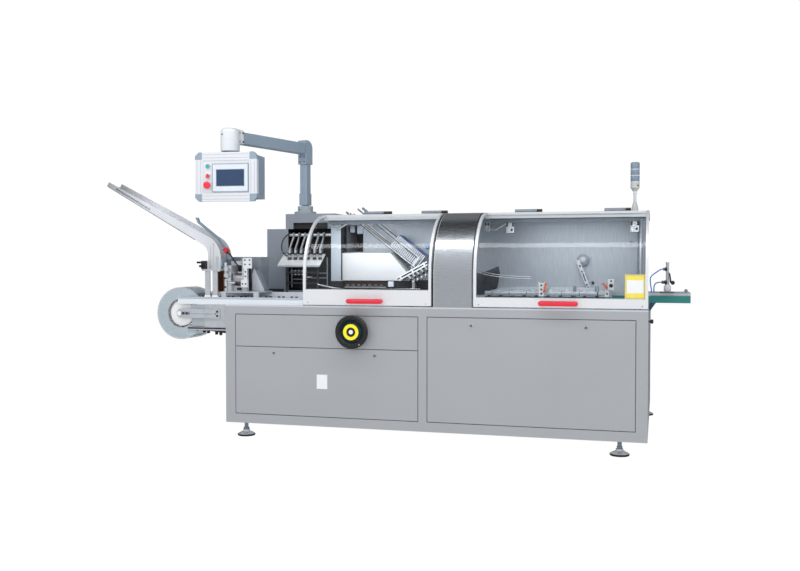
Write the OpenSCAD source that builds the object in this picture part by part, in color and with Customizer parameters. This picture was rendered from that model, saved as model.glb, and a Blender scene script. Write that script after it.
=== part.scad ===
// Automatic cartoner: base cabinet, flighted infeed with product chute, leaflet tower,
// two lift-up guard doors either side of a steel hood, carton track, outfeed belt and operator arm.
// X runs along the machine to the outfeed, Y to the back, Z up; the origin is on the floor,
// below the middle of the whole machine. Places are drawn from the cabinet's front left corner.

/* [Base] */
// Length of the base cabinet
base_l = 2250; // [2220:5:2300]
// Depth of the base cabinet
base_d = 1500; // [1440:5:1560]
// Height of the base cabinet above its feet
base_h = 641; // [620:1:680]
// Height of the levelling feet
foot_h = 86; // [70:1:100]
// Diameter of a foot's pad
foot_pad_d = 98; // [80:1:110]
// Thickness of the table plate
table_t = 8; // [6:1:12]
// Gap around each service panel
seam = 4; // [3:0.5:6]

/* [Handwheel] */
// Diameter of the handwheel
wheel_d = 176; // [150:2:200]

/* [Guards] */
// Left end of the left guard door, from the cabinet's left end
left_guard_x = 456; // [450:1:470]
// Length of the left guard door
left_guard_l = 708; // [690:1:720]
// Length of the centre hood
hood_l = 210; // [200:1:220]
// Height of the guards above the table
guard_h = 502; // [480:1:520]
// Radius of the guards' bend
guard_r = 340; // [320:1:345]
// Width of a guard's arch
arch_w = 14; // [10:1:20]
// Thickness of the clear sheet
sheet_t = 6; // [4:0.5:8]
// Height of the left guard's bottom rail
left_rail_h = 80; // [70:1:90]
// Height of the right guard's bottom rail
right_rail_h = 46; // [40:1:60]

/* [Infeed] */
// Middle of the flight chain, behind the cabinet's front face
lane_y = 110; // [106:1:116]
// Pitch radius of the chain wheels
chain_r = 73; // [68:1:78]
// Pitch of the pusher lugs
lug_pitch = 76; // [70:1:90]
// Outer radius of the clear chain guard
cover_r = 146; // [140:1:156]
// Width of the product chute
chute_w = 136; // [128:1:140]

/* [Operator panel] */
// Reach of the arm from its post to the panel's swivel
arm_reach = 663; // [640:1:680]
// Angle of the arm from straight ahead towards the infeed
arm_angle = 16.3; // [14:0.1:20]
// Width of the panel box
panel_w = 348; // [340:1:370]
// Height of the panel box
panel_h = 264; // [250:1:275]
// Depth of the panel's front frame
panel_d = 30; // [24:1:40]
// Depth of the panel's rear housing
rear_d = 110; // [90:1:120]

/* [Outfeed] */
// Length of the outfeed belt beyond the cabinet
outfeed_l = 204; // [190:1:260]
// Width of the outfeed belt
belt_w = 150; // [140:1:160]

/* [Hidden] */
$fn = 48;

// Heights of the cabinet's underside, its top and the table
cab_z0 = foot_h;
cab_z1 = foot_h + base_h;
tz = cab_z1 + table_t;
// Free space between a moving piece and the piece beside it
clear = 6;

// Guard doors along X and the guard's section in Y and Z
left_guard = [left_guard_x, left_guard_x + left_guard_l];
hood = [left_guard[1] + clear, left_guard[1] + clear + hood_l];
right_guard = [hood[1] + clear, base_l - 1];
guard_top = tz + guard_h;
bend_z = guard_top - guard_r;
rail_z = tz + clear;
arch_t = 12;
top_rail_t = 32;
top_rail_y = [guard_r - 10, guard_r + 52];
// Hinge line of both doors, above the gap between door and beam
hinge_y = top_rail_y[1] + 13;
barrel_r = 10;
hinge_z = guard_top + barrel_r;
pin_r = 5;
run_clear = 0.05;
beam_y = [hinge_y - 3, hinge_y + 45];
beam_z = [guard_top - 50, guard_top - 10];
// Back wall of the working bays, and the right end of the housing behind them
wall_y = 640;
housing_x1 = base_l - 30;

// Handwheel axis
wheel_x = 747;
wheel_z = cab_z1 - 125;
wheel_shaft_r = 12;

// Infeed chain wheels
infeed_x = -288;
drive_x = left_guard[1] - 79;
wheel_cz = tz - 53;
chain_t = 14;
chain_w = 24;
chain_sag = 60;
near_top = tz + 40;
rail_top = tz + 65;
plate_t = 8;
rail_y = [14, 14 + plate_t];
far_rail_y = [2 * lane_y - rail_y[1], 2 * lane_y - rail_y[0]];
channel_y = [lane_y - 55, lane_y + 55];
channel_x1 = drive_x + 150;
channel_z0 = wheel_cz - chain_r - chain_sag - 60;

// Leaflet tower
tower_x = [149, left_guard_x];
tower_y = 500;
tower_top = tz + 520;

// Operator arm
post = [236, 600];
arm_dir = 270 - arm_angle;
collar_z = tower_top + 50;
sleeve_z = collar_z + clear;
column_z = [sleeve_z + 70, sleeve_z + 246];
beam_axis_z = column_z[1] + 92;
spigot_r = 22;
swivel_r = 51;
swivel_pin_r = 20;
panel_turn = 5.4;
head = [post[0] + arm_reach * cos(arm_dir), post[1] + arm_reach * sin(arm_dir)];
swivel_z = [beam_axis_z - 80, beam_axis_z + 44];
neck_h = 4;
panel_top = swivel_z[0] - clear - neck_h;

// Carton track and outfeed
track_y = 350;
track_x = [right_guard[0] + 4, base_l - 196];
belt_x = [base_l - 180, base_l + outfeed_l];
belt_r = 17;
belt_cz = tz + 44;
belt_t = 3;

// Furthest reach of the machine along X, and in front from the stop button to the rear locks
chute_tip = [-766, tz + 670];
lock_h = 4;
button_x = -101;
stop_r = 20;
stop_h = 25;
// Panel face ahead of its swivel, and how deep the face lies in its frame
panel_ahead = (panel_d + rear_d) / 2;
face_in = 3;
front_reach = head[1] + (button_x - stop_r) * sin(panel_turn) - (panel_ahead - face_in + stop_h) * cos(panel_turn);
middle = [(chute_tip[0] + belt_x[1]) / 2, (front_reach + base_d + lock_h) / 2];

module place() {
    translate([-middle[0], -middle[1], 0]) children();
}

module box(x, y, z) {
    translate([x[0], y[0], z[0]]) cube([x[1] - x[0], y[1] - y[0], z[1] - z[0]]);
}

// Extrudes a Y-Z section along X
module along_x(x) {
    translate([x[0], 0, 0]) rotate([90, 0, 90]) linear_extrude(x[1] - x[0]) children();
}

// Extrudes an X-Z section along Y
module along_y(y) {
    translate([0, y[1], 0]) rotate([90, 0, 0]) linear_extrude(y[1] - y[0]) children();
}

// Round bar along X or Y
module bar_x(x, y, z, r) {
    translate([x[0], y, z]) rotate([0, 90, 0]) cylinder(h = x[1] - x[0], r = r);
}

module bar_y(x, y, z, r) {
    translate([x, y[1], z]) rotate([90, 0, 0]) cylinder(h = y[1] - y[0], r = r);
}

module post_z(x, y, z, r) {
    translate([x, y, z[0]]) cylinder(h = z[1] - z[0], r = r);
}

// Straight bar of square section between two points of a Y-Z plane
module strut_yz(x, a, b, t) {
    run = norm(b - a);
    translate([x - t / 2, a[0], a[1]])
        rotate([atan2(b[1] - a[1], b[0] - a[0]), 0, 0])
            translate([0, 0, -t / 2]) cube([t, run, t]);
}

// Straight bar between two points of an X-Z plane
module strut_xz(y, a, b, t) {
    run = norm(b - a);
    translate([a[0], y[0], a[1]])
        rotate([0, -atan2(b[1] - a[1], b[0] - a[0]), 0])
            translate([0, 0, -t / 2]) cube([run, y[1] - y[0], t]);
}

function unit(v) = v / norm(v);
function ring_at(p, t, r, n) =
    let (up = abs(t[2]) > 0.9 ? [1, 0, 0] : [0, 0, 1], a = unit(cross(t, up)), b = cross(t, a))
    [for (k = [0 : n - 1]) p + r * (cos(k * 360 / n) * a + sin(k * 360 / n) * b)];
function way(path, i) =
    unit(path[min(i + 1, len(path) - 1)] - path[max(i - 1, 0)]);

// Round tube swept along a path of points
module sweep_tube(path, r, n = 8) {
    m = len(path);
    points = [for (i = [0 : m - 1]) each ring_at(path[i], way(path, i), r, n)];
    sides = [for (i = [0 : m - 2], k = [0 : n - 1])
        [i * n + k, i * n + (k + 1) % n, (i + 1) * n + (k + 1) % n, (i + 1) * n + k]];
    first = [[for (k = [0 : n - 1]) n - 1 - k]];
    last = [[for (k = [0 : n - 1]) (m - 1) * n + k]];
    polyhedron(points = points, faces = concat(first, sides, last), convexity = 4);
}

// Smooth route through hand-chosen points
function bend_point(p, i, t) =
    let (a = p[max(i - 1, 0)], b = p[i], c = p[i + 1], d = p[min(i + 2, len(p) - 1)])
    0.5 * (2 * b + t * (c - a) + t * t * (2 * a - 5 * b + 4 * c - d) + t * t * t * (3 * b - a - 3 * c + d));
function route(p, steps) =
    concat([for (i = [0 : len(p) - 2], k = [0 : steps - 1]) bend_point(p, i, k / steps)], [p[len(p) - 1]]);

// Section of a guard between two depths below its outer skin, from a height up over the bend
module guard_section(skin, inner, z0) {
    intersection() {
        difference() {
            translate([guard_r, bend_z]) circle(r = guard_r - skin, $fn = 96);
            translate([guard_r, bend_z]) circle(r = guard_r - inner, $fn = 96);
        }
        translate([0, bend_z]) square([guard_r, guard_r + 1]);
    }
    translate([skin, z0]) square([inner - skin, bend_z - z0]);
}

// Base

front_left = [61, 1092];
front_right = [1145, base_l - 60];
panel_z = [cab_z0 + 54, cab_z1 - 45];
split_z = cab_z0 + 422;
skin_t = 12;
// Wall of the closed housings
wall_t = 20;

module panel_pocket(x, y) {
    box([x[0] - seam, x[1] + seam], y, [panel_z[0] - seam, panel_z[1] + seam]);
}

module base_cabinet() {
    color("darkgray") place() difference() {
        box([0, base_l], [0, base_d], [cab_z0, cab_z1]);
        for (x = [front_left, front_right]) {
            panel_pocket(x, [-1, skin_t]);
            panel_pocket(x, [base_d - skin_t, base_d + 1]);
        }
        box([-1, channel_x1], channel_y, [channel_z0, cab_z1 + 1]);
        box([wall_t, base_l - wall_t], [channel_y[1] + wall_t, base_d - skin_t - wall_t],
            [cab_z0 + wall_t, cab_z1 - wall_t]);
    }
}

module front_panels() {
    color("darkgray") place() {
        box(front_left, [0, skin_t], [split_z + seam / 2, panel_z[1]]);
        box(front_left, [0, skin_t], [panel_z[0], split_z - seam / 2]);
        box(front_right, [0, skin_t], panel_z);
    }
}

module rear_panels() {
    color("darkgray") place() for (x = [front_left, front_right])
        box(x, [base_d - skin_t, base_d], panel_z);
}

module panel_locks() {
    lock_r = 11;
    color("silver") place() {
        for (x = [287, 859]) bar_y(x, [-lock_h, 0], split_z - 33, lock_r);
        for (x = [1375, 1953]) bar_y(x, [-lock_h, 0], panel_z[1] - 38, lock_r);
        for (x = [287, 859, 1375, 1953]) bar_y(x, [base_d, base_d + lock_h], panel_z[1] - 38, lock_r);
    }
}

feet = [[78, 95], [base_l - 136, 98], [78, base_d - 95], [base_l - 28, base_d - 95]];

module levelling_feet() {
    pad_r = foot_pad_d / 2;
    color("silver") place() for (p = feet) translate([p[0], p[1], 0])
        rotate_extrude() polygon([
            [0, 0], [pad_r - 3, 0], [pad_r, 3], [pad_r, 11], [pad_r - 14, 19], [19, 25],
            [19, 34], [11, 34], [11, foot_h - 14], [18, foot_h - 14], [18, foot_h], [0, foot_h]
        ]);
}

module table_top() {
    color("gainsboro") place() difference() {
        box([0, base_l], [0, base_d], [cab_z1, tz]);
        box([drive_x - 150, channel_x1], [channel_y[0] + 8, channel_y[1] - 8], [cab_z1 - 1, tz + 1]);
    }
}

// Handwheel

wheel_front = -62;
bearing_front = -26;

module handwheel_bearing() {
    color("gray") place() translate([wheel_x, 0, wheel_z]) rotate([90, 0, 0]) difference() {
        union() {
            cylinder(h = 8, r = 48);
            cylinder(h = -bearing_front, r = 32);
        }
        translate([0, 0, 3]) cylinder(h = 40, r = wheel_shaft_r + run_clear);
    }
}

module handwheel() {
    rim = wheel_d / 2;
    color("black") place() translate([wheel_x, 0, wheel_z]) rotate([90, 0, 0])
        rotate_extrude() polygon([
            [0, 6], [wheel_shaft_r, 6], [wheel_shaft_r, 32], [46, 32], [56, 38], [rim - 24, 32], [rim - 6, 32],
            [rim, 38], [rim, 56], [rim - 6, -wheel_front], [rim - 20, -wheel_front], [rim - 27, 54],
            [56, 46], [46, 54], [46, 58], [0, 58]
        ]);
}

module handwheel_ring() {
    color("gold") place() translate([wheel_x, 0, wheel_z]) rotate([90, 0, 0]) translate([0, 0, 58])
        difference() {
            cylinder(h = 4, r = 42);
            translate([0, 0, -1]) cylinder(h = 6, r = 25);
        }
}

// Infeed

side_x = [-135, 0];
rail_x0 = infeed_x - 12;
shaft_y = [4, 2 * lane_y - 4];

module infeed_side(flip) {
    plate = flip ? far_rail_y : rail_y;
    arm = flip ? [plate[1], plate[1] + plate_t] : [plate[0] - plate_t, plate[0]];
    box(side_x, plate, [tz - 146, tz]);
    box([-240, side_x[0] + 4], plate, [tz - 146, tz - 126]);
    along_y(arm) difference() {
        hull() {
            translate([infeed_x + 8, wheel_cz]) circle(r = 25);
            translate([-50, wheel_cz - 25]) square([10, 50]);
        }
        translate([infeed_x, wheel_cz]) circle(r = wheel_shaft_r);
        for (x = [infeed_x + 40, -66]) translate([x, wheel_cz]) circle(r = 5);
    }
}

module infeed_frame() {
    color("silver") place() {
        infeed_side(false);
        infeed_side(true);
        box([-115, -75], [rail_y[1], far_rail_y[0]], [wheel_cz - 20, wheel_cz + 20]);
    }
}

module infeed_rails() {
    track_h = 13;
    color("gainsboro") place() {
        box([rail_x0, left_guard[0] - clear], rail_y, [tz, near_top]);
        box([rail_x0, drive_x - 100], far_rail_y, [tz, rail_top]);
        box([-150, drive_x - 100], [lane_y - 14, lane_y + 14], [tz, tz + track_h]);
    }
}

module infeed_sprockets() {
    disc_r = chain_r - chain_t / 2 - 0.5;
    color("white") place() {
        union() {
            bar_y(infeed_x, [lane_y - 20, lane_y + 20], wheel_cz, disc_r);
            bar_y(infeed_x, shaft_y, wheel_cz, wheel_shaft_r);
        }
        union() {
            bar_y(drive_x, [lane_y - 20, lane_y + 20], wheel_cz, disc_r);
            bar_y(drive_x, channel_y, wheel_cz, wheel_shaft_r);
        }
    }
}

// Chain loop in X-Z: level top run, two half turns and a sagging return run
half_span = (drive_x - infeed_x) / 2;
mid_x = (drive_x + infeed_x) / 2;
return_run = 16;
turn_steps = 18;
function sag_z(x) = wheel_cz - chain_r - chain_sag * (1 - pow((x - mid_x) / half_span, 2));
function loop_path(off) = concat(
    [for (k = [0 : turn_steps]) let (a = 90 - k * 180 / turn_steps)
        [drive_x, wheel_cz] + (chain_r + off) * [cos(a), sin(a)]],
    [for (k = [1 : return_run - 1]) let (x = drive_x - k * 2 * half_span / return_run) [x, sag_z(x) - off]],
    [for (k = [0 : turn_steps]) let (a = 270 - k * 180 / turn_steps)
        [infeed_x, wheel_cz] + (chain_r + off) * [cos(a), sin(a)]]
);

module at_chain() {
    place() along_y([lane_y - chain_w / 2, lane_y + chain_w / 2]) children();
}

module infeed_chain() {
    color("dimgray") at_chain() difference() {
        polygon(loop_path(chain_t / 2));
        polygon(loop_path(-chain_t / 2));
    }
}

lug_seat = chain_t / 2 - 0.5;
lug_split = 13;
lug_h = 17;

module lug() {
    translate([0, lug_seat]) polygon([[-5, 0], [5, 0], [3, lug_h], [-3, lug_h]]);
}

// Pairs of lugs along both runs and around both wheels
module pusher_lugs() {
    runs = floor(2 * half_span / lug_pitch);
    lean = lug_split * 180 / (PI * chain_r);
    color("black") at_chain() for (side = [-1, 1]) {
        for (k = [0 : runs - 1]) let (x = infeed_x + (k + 0.5) * 2 * half_span / runs + side * lug_split) {
            translate([x, wheel_cz + chain_r]) lug();
            translate([x, sag_z(x)]) rotate(180) lug();
        }
        for (a = [-60, 0, 60]) {
            translate([drive_x, wheel_cz]) rotate(a - 90 + side * lean) translate([0, chain_r]) lug();
            translate([infeed_x, wheel_cz]) rotate(a + 90 + side * lean) translate([0, chain_r]) lug();
        }
    }
}

// Ring between two radii, open towards the machine between a top and a bottom angle
module guard_ring(r0, r1, ends) {
    steps = 12;
    turn = (360 - ends[0] - ends[1]) / steps;
    intersection() {
        difference() {
            circle(r = r1, $fn = 96);
            circle(r = r0, $fn = 96);
        }
        polygon(concat([[0, 0]], [for (k = [0 : steps]) 2 * r1 * [cos(ends[0] + k * turn), sin(ends[0] + k * turn)]]));
    }
}

module infeed_chain_guard() {
    inner_r = chain_r + 7;
    color("lightcyan", 0.4) place() translate([infeed_x, 0, wheel_cz]) {
        along_y([rail_y[1], rail_y[1] + sheet_t]) guard_ring(inner_r, cover_r, [31, 45]);
        along_y([far_rail_y[0] - sheet_t, far_rail_y[0]]) guard_ring(inner_r, cover_r, [31, 45]);
        along_y([rail_y[1], far_rail_y[0]]) guard_ring(cover_r - sheet_t, cover_r, [50, 60]);
    }
}

// Product chute and feeder

chute_y = [lane_y - chute_w / 2, lane_y + chute_w / 2];
chute_t = 4;
chute_foot_z = tz + 195;
chute_back = -126;
chute_front = -50;
chute_slope = 29.2;
// Radius of the floor's bend into the drop, and the walls' depth at the tip, at the bend and in the drop
bend_r = 70;
lip_depth = 26;
slope_depth = 56;
drop_depth = chute_front - chute_back;
bend_angle = 90 - chute_slope;
bend_steps = 10;
bend_x = chute_back - bend_r;
bend_mid = [bend_x, chute_tip[1] - bend_r * cos(chute_slope)
    - tan(chute_slope) * (bend_x + bend_r * sin(chute_slope) - chute_tip[0])];
chute_up = [sin(chute_slope), cos(chute_slope)];
function bend_at(a, depth) = bend_mid + (bend_r + depth) * [cos(a), sin(a)];
function wall_depth(a) = drop_depth - (drop_depth - slope_depth) * a / bend_angle;

// Floor line of the chute from its tip through the bend to its foot
chute_line = concat(
    [chute_tip], [for (k = [bend_steps : -1 : 0]) bend_at(bend_angle * k / bend_steps, 0)], [[chute_back, chute_foot_z]]
);

// Side view of the chute's wall, its depth growing towards the drop
module chute_wall() {
    polygon(concat(
        chute_line, [[chute_front, chute_foot_z]],
        [for (k = [0 : bend_steps]) let (a = bend_angle * k / bend_steps) bend_at(a, wall_depth(a))],
        [chute_tip + lip_depth * chute_up]
    ));
}

module chute_floor() {
    polygon(concat(
        chute_line, [[chute_back + chute_t, chute_foot_z]],
        [for (k = [0 : bend_steps]) bend_at(bend_angle * k / bend_steps, chute_t)], [chute_tip + chute_t * chute_up]
    ));
}

slot_at = [60, 9];
slot_size = [250, 11];

module product_chute() {
    color("gainsboro") place() {
        along_y([chute_y[0], chute_y[0] + chute_t]) difference() {
            chute_wall();
            translate(chute_tip) rotate(-chute_slope) translate(slot_at) square(slot_size);
        }
        along_y([chute_y[1] - chute_t, chute_y[1]]) chute_wall();
        along_y(chute_y) chute_floor();
    }
}

module chute_guide_bar() {
    color("slategray") place() {
        along_y([lane_y - 22, lane_y + 22]) polygon([
            [-238, tz + 486], [-222, tz + 486], [-212, tz + 462], [-98, tz + 376], [-44, tz + 296],
            [-44, tz + 210], [chute_front, tz + 210], [chute_front, tz + 294], [-106, tz + 366], [-222, tz + 454]
        ]);
        box([chute_front, -44], chute_y, [tz + 210, tz + 250]);
    }
}

stand_x0 = chute_back - 15;

module chute_stand() {
    color("gainsboro") place() {
        difference() {
            box([stand_x0, -36], [rail_y[0] - 4, far_rail_y[1] + 4], [chute_foot_z - 10, chute_foot_z]);
            box([chute_back + chute_t, chute_front], [chute_y[0] + chute_t, chute_y[1] - chute_t],
                [chute_foot_z - 11, chute_foot_z + 1]);
        }
        for (x = [-132, -86]) {
            box([x, x + 30], rail_y, [near_top, chute_foot_z - 10]);
            box([x, x + 30], far_rail_y, [rail_top, chute_foot_z - 10]);
        }
        box([stand_x0 - 13, stand_x0], [rail_y[0] + 6, rail_y[0] + 30], [chute_foot_z - 10, chute_foot_z + 24]);
        bar_y(stand_x0 - 6, [rail_y[0] - 30, rail_y[0] + 6], chute_foot_z + 16, 5);
    }
}

module feeder_drive() {
    deck_z = rail_top + 6;
    color("dimgray") place() {
        box([-34, 190], [rail_y[0], far_rail_y[1]], [rail_top, deck_z]);
        for (x = [-34, 160]) box([x, x + 30], rail_y, [near_top, deck_z]);
        box([-30, 6], [60, 150], [deck_z, tz + 215]);
        box([66, 94], [70, 98], [deck_z, tz + 256]);
        box([6, 66], [90, 140], [deck_z, deck_z + 30]);
        bar_x([6, 66], gland[1], tz + 140, 22);
        post_z(gland[0], gland[1], [tz + 150, gland[2]], 7);
        for (z = [160, 195]) bar_y(-12, [30, 60], tz + z, 13);
    }
}

module feeder_cover() {
    back_y = far_rail_y[1] + 4;
    color("gray") place() {
        box([4, 118], [back_y, back_y + 110], [tz, tz + 263]);
        box([-90, 4], [back_y, back_y + 110], [tz + 90, tz + 263]);
        along_y([back_y - 40, back_y]) polygon([[104, tz + 84], [104, tz + 190], [118, tz + 190], [160, tz + 84]]);
    }
}

lead_r = 4;
gland = [52, 115, tz + 168];
lead_start = [-44, lane_y - 6, tz + 286];
lead_way = concat([lead_start], route([
    lead_start + [6, 0, 0], [-16, lane_y - 18, tz + 276], [14, lane_y - 24, tz + 238],
    [38, lane_y - 12, tz + 204], [50, lane_y + 2, tz + 190], gland + [0, 0, 6]
], 6), [gland]);

module sensor_lead() {
    color("black") place() sweep_tube(lead_way, lead_r);
}

// Leaflet tower

module tower_housing() {
    side_x0 = 29;
    color("gray") place() difference() {
        union() {
            box(tower_x, [tower_y, base_d], [tz, tower_top]);
            box([side_x0, tower_x[0]], [tower_y, tower_y + 500], [tz, tz + 431]);
        }
        box([tower_x[0] + 16, tower_x[1] - 16], [tower_y - 1, tower_y + 300], [tz + 65, tz + 431]);
        box([tower_x[0] + 48, tower_x[1] - 41], [tower_y - 1, tower_y + 300], [tz + 430, tz + 467]);
        box([tower_x[0] + wall_t, tower_x[1] - wall_t], [tower_y + 320, base_d - wall_t],
            [tz + wall_t, tower_top - wall_t]);
    }
}

tray_front = [400, tz + 210];
tray_back = [tower_y, tz + 276];
tray_x = [138, 402];
leg_x = [190, 384];

module leaflet_frame() {
    leg_r = 7;
    leg_y = tray_front[0] + 16;
    rise = (tray_back[1] - tray_front[1]) / (tray_back[0] - tray_front[0]);
    leg_top = tray_front[1] + (leg_y - leg_r - tray_front[0]) * rise - 0.3;
    color("dimgray") place() {
        union() {
            for (x = leg_x) post_z(x, leg_y, [tz, leg_top], leg_r);
            for (z = [tz + 110, tz + 172]) bar_x(leg_x, leg_y, z, 5);
        }
        box([46, 136], [tower_y - 44, tower_y], [tz, tz + 74]);
    }
}

module leaflet_tray() {
    t = 6;
    along = unit(tray_back - tray_front);
    up = [-along[1], along[0]] * t;
    color("white") place() along_x(tray_x)
        polygon([tray_front, tray_back, tray_back + up, tray_front + up]);
}

module suction_arms() {
    shaft = [tower_y + 22, tz + 394];
    color("dimgray") place() {
        bar_x([tower_x[0] + 16, tower_x[1] - 16], shaft[0], shaft[1], 9);
        for (x = [196, 232, 268, 312, 352, 388]) {
            strut_yz(x, shaft, [tower_y - 56, tz + 306], 9);
            post_z(x, tower_y - 54, [tz + 262, tz + 306], 7);
        }
    }
}

// Operator arm

module chamfer_square(w, c) {
    h = w / 2;
    polygon([[h - c, -h], [h, c - h], [h, h - c], [h - c, h], [c - h, h], [-h, h - c], [-h, c - h], [c - h, -h]]);
}

module arm_base() {
    color("slategray") place() translate([post[0], post[1], 0]) {
        translate([0, 0, tower_top]) cylinder(h = 16, r = 66);
        translate([0, 0, tower_top]) cylinder(h = collar_z - tower_top, r = 46);
        translate([0, 0, collar_z - 1]) cylinder(h = 62, r = spigot_r);
    }
}

sleeve_w = 60;
column_w = 52;
elbow_w = 62;
elbow_h = 143;
elbow_r = 48;
beam_w = 50;
beam_h = 66;

// Side view of the elbow: square where the beam goes in, rounded at the back
module elbow_side() {
    translate([-elbow_w / 2, 0]) intersection() {
        square([elbow_w, elbow_h]);
        union() {
            square([elbow_w, elbow_h - elbow_r]);
            translate([elbow_r, 0]) square([elbow_w, elbow_h]);
            translate([elbow_r, elbow_h - elbow_r]) circle(r = elbow_r);
        }
    }
}

module arm_column() {
    color("slategray") place() translate([post[0], post[1], 0]) rotate(arm_dir) difference() {
        union() {
            translate([0, 0, sleeve_z]) linear_extrude(column_z[0] - sleeve_z) chamfer_square(sleeve_w, 9);
            translate([0, 0, column_z[0] - 1]) linear_extrude(column_z[1] - column_z[0] + 2) chamfer_square(column_w, 8);
            translate([0, 0, column_z[1]]) along_y([-elbow_w / 2, elbow_w / 2]) elbow_side();
        }
        translate([0, 0, sleeve_z - 1]) cylinder(h = 62 - clear + 4, r = spigot_r + run_clear);
    }
}

module arm_beam() {
    color("slategray") place() translate([post[0], post[1], 0]) rotate(arm_dir) difference() {
        union() {
            translate([elbow_w / 2, -beam_w / 2, beam_axis_z - beam_h / 2])
                cube([arm_reach - elbow_w / 2 - swivel_r - 20, beam_w, beam_h]);
            translate([arm_reach - swivel_r - 30, -beam_w / 2 - 5, beam_axis_z - beam_h / 2 - 3])
                cube([60, beam_w + 10, beam_h + 12]);
            translate([arm_reach, 0, swivel_z[0]]) cylinder(h = swivel_z[1] - swivel_z[0] - 12, r = swivel_r);
            translate([arm_reach, 0, swivel_z[1] - 12]) cylinder(h = 12, r1 = swivel_r, r2 = swivel_r - 12);
        }
        translate([arm_reach, 0, swivel_z[0] - 1]) cylinder(h = 64, r = swivel_pin_r + run_clear);
    }
}

// Operator panel, drawn about its swivel axis

corner = 40;
strip_w = corner + 4;

module at_panel() {
    place() translate([head[0], head[1], panel_top - panel_h]) rotate(panel_turn) children();
}

module panel_front() {
    translate([0, face_in - panel_ahead, 0]) rotate([90, 0, 0]) children();
}

module panel_box() {
    color("whitesmoke") at_panel() difference() {
        translate([-panel_w / 2, -panel_ahead, 0]) cube([panel_w, panel_d, panel_h]);
        for (x = [-panel_w / 2 - 1, panel_w / 2 - corner], z = [-1, panel_h - corner])
            translate([x, -panel_ahead - 1, z]) cube([corner + 1, panel_d + 2, corner + 1]);
        translate([strip_w - panel_w / 2, -panel_ahead - 1, strip_w])
            cube([panel_w - 2 * strip_w, face_in + 1, panel_h - 2 * strip_w]);
    }
}

// Rear housing with ribbed sides, its neck and the swivel pin
module panel_rear() {
    inset = 17;
    half = panel_w / 2 - 2;
    rib = 4;
    rib_pitch = 14;
    back = panel_d - panel_ahead;
    color("slategray") at_panel() {
        difference() {
            translate([-half, back, inset]) cube([2 * half, rear_d, panel_h - 2 * inset]);
            for (side = [-1, 1], y = [back + rib_pitch : rib_pitch : back + rear_d - rib_pitch])
                translate([side * half - rib / 2, y, inset + corner / 2])
                    cube([rib, rib, panel_h - 2 * inset - corner]);
        }
        translate([-1.2 * swivel_r, back, panel_h - inset - 1]) cube([2.4 * swivel_r, swivel_r - back, inset + 1]);
        translate([0, 0, panel_h]) cylinder(h = neck_h, r = swivel_r - 6);
        translate([0, 0, panel_h + neck_h - 1]) cylinder(h = 62, r = swivel_pin_r);
    }
}

module panel_corners() {
    cut = 20;
    color("slategray") at_panel() for (sx = [-1, 1], top = [0, 1])
        translate([sx * panel_w / 2, 0, top * panel_h]) mirror([sx > 0 ? 1 : 0, 0, 0]) mirror([0, 0, top])
            along_y([-panel_ahead, panel_d - panel_ahead])
                polygon([[cut, 0], [corner, 0], [corner, corner], [0, corner], [0, cut]]);
}

screen_w = 198;
screen_h = 146;
screen_mid = [26, panel_h / 2 - 6];

module panel_screen() {
    t = 6;
    color("lightsteelblue") at_panel() panel_front() translate([screen_mid[0], screen_mid[1], 0]) difference() {
        translate([-screen_w / 2, -screen_h / 2, 0]) cube([screen_w, screen_h, t]);
        translate([-78, -44, t - 2]) cube([156, 88, 3]);
    }
}

module panel_buttons() {
    color("red") at_panel() panel_front() translate([button_x, 0, 0]) {
        for (z = [panel_h - 75, panel_h - 128]) translate([0, z, 0]) cylinder(h = 10, r = 14);
        translate([0, panel_h - 177, 0]) {
            cylinder(h = stop_h - 11, r = 12);
            translate([0, 0, stop_h - 12]) cylinder(h = 12, r = stop_r);
        }
    }
}

// Guards

left_hinges = [[673, 790, 836], [left_guard[1] - 152, left_guard[1] - 37, left_guard[1] - 4]];
right_hinges = [[right_guard[0] + 152, right_guard[0] + 271, right_guard[0] + 300], [base_l - 234, base_l - 125, base_l - 96]];
leaf_gap = 1;

module guard_frame(x, rail_h) {
    along_x([x[0], x[0] + arch_w]) guard_section(0, arch_t, rail_z);
    along_x([x[1] - arch_w, x[1]]) guard_section(0, arch_t, rail_z);
    box(x, [0, arch_t + 4], [rail_z, rail_z + rail_h]);
    box(x, top_rail_y, [guard_top - top_rail_t, guard_top]);
}

module guard_window(x, rail_h) {
    inset = 4;
    intersection() {
        along_x([x[0] + inset, x[1] - inset]) guard_section(arch_t, arch_t + sheet_t, rail_z + rail_h);
        box(x, [0, top_rail_y[0]], [tz, guard_top]);
    }
}

module guard_handle(mid) {
    span = 84;
    grip_y = -36;
    z = rail_z + 22;
    union() {
        bar_x([mid - span - 14, mid + span + 14], grip_y, z, 13);
        for (x = [mid - span, mid + span]) bar_y(x, [grip_y, 0], z, 10);
    }
}

module guard_knuckles(hinges) {
    for (h = hinges) difference() {
        union() {
            bar_x([h[1] + leaf_gap, h[2]], hinge_y, hinge_z, barrel_r);
            box([h[1] + leaf_gap, h[2]], [top_rail_y[1] - 30, hinge_y], [guard_top, guard_top + 5]);
        }
        bar_x([h[1] - 1, h[2] + 1], hinge_y, hinge_z, pin_r + run_clear);
    }
}

module left_guard_frame() {
    color("gainsboro") place() guard_frame(left_guard, left_rail_h);
}

module left_guard_window() {
    color("lightcyan", 0.3) place() guard_window(left_guard, left_rail_h);
}

module left_guard_handle() {
    color("red") place() guard_handle(left_guard[0] + left_guard_l / 2);
}

module left_guard_knuckles() {
    color("black") place() guard_knuckles(left_hinges);
}

module right_guard_frame() {
    color("gainsboro") place() guard_frame(right_guard, right_rail_h);
}

module right_guard_window() {
    color("lightcyan", 0.3) place() guard_window(right_guard, right_rail_h);
}

module right_guard_handle() {
    color("red") place() guard_handle((right_guard[0] + right_guard[1]) / 2);
}

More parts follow.
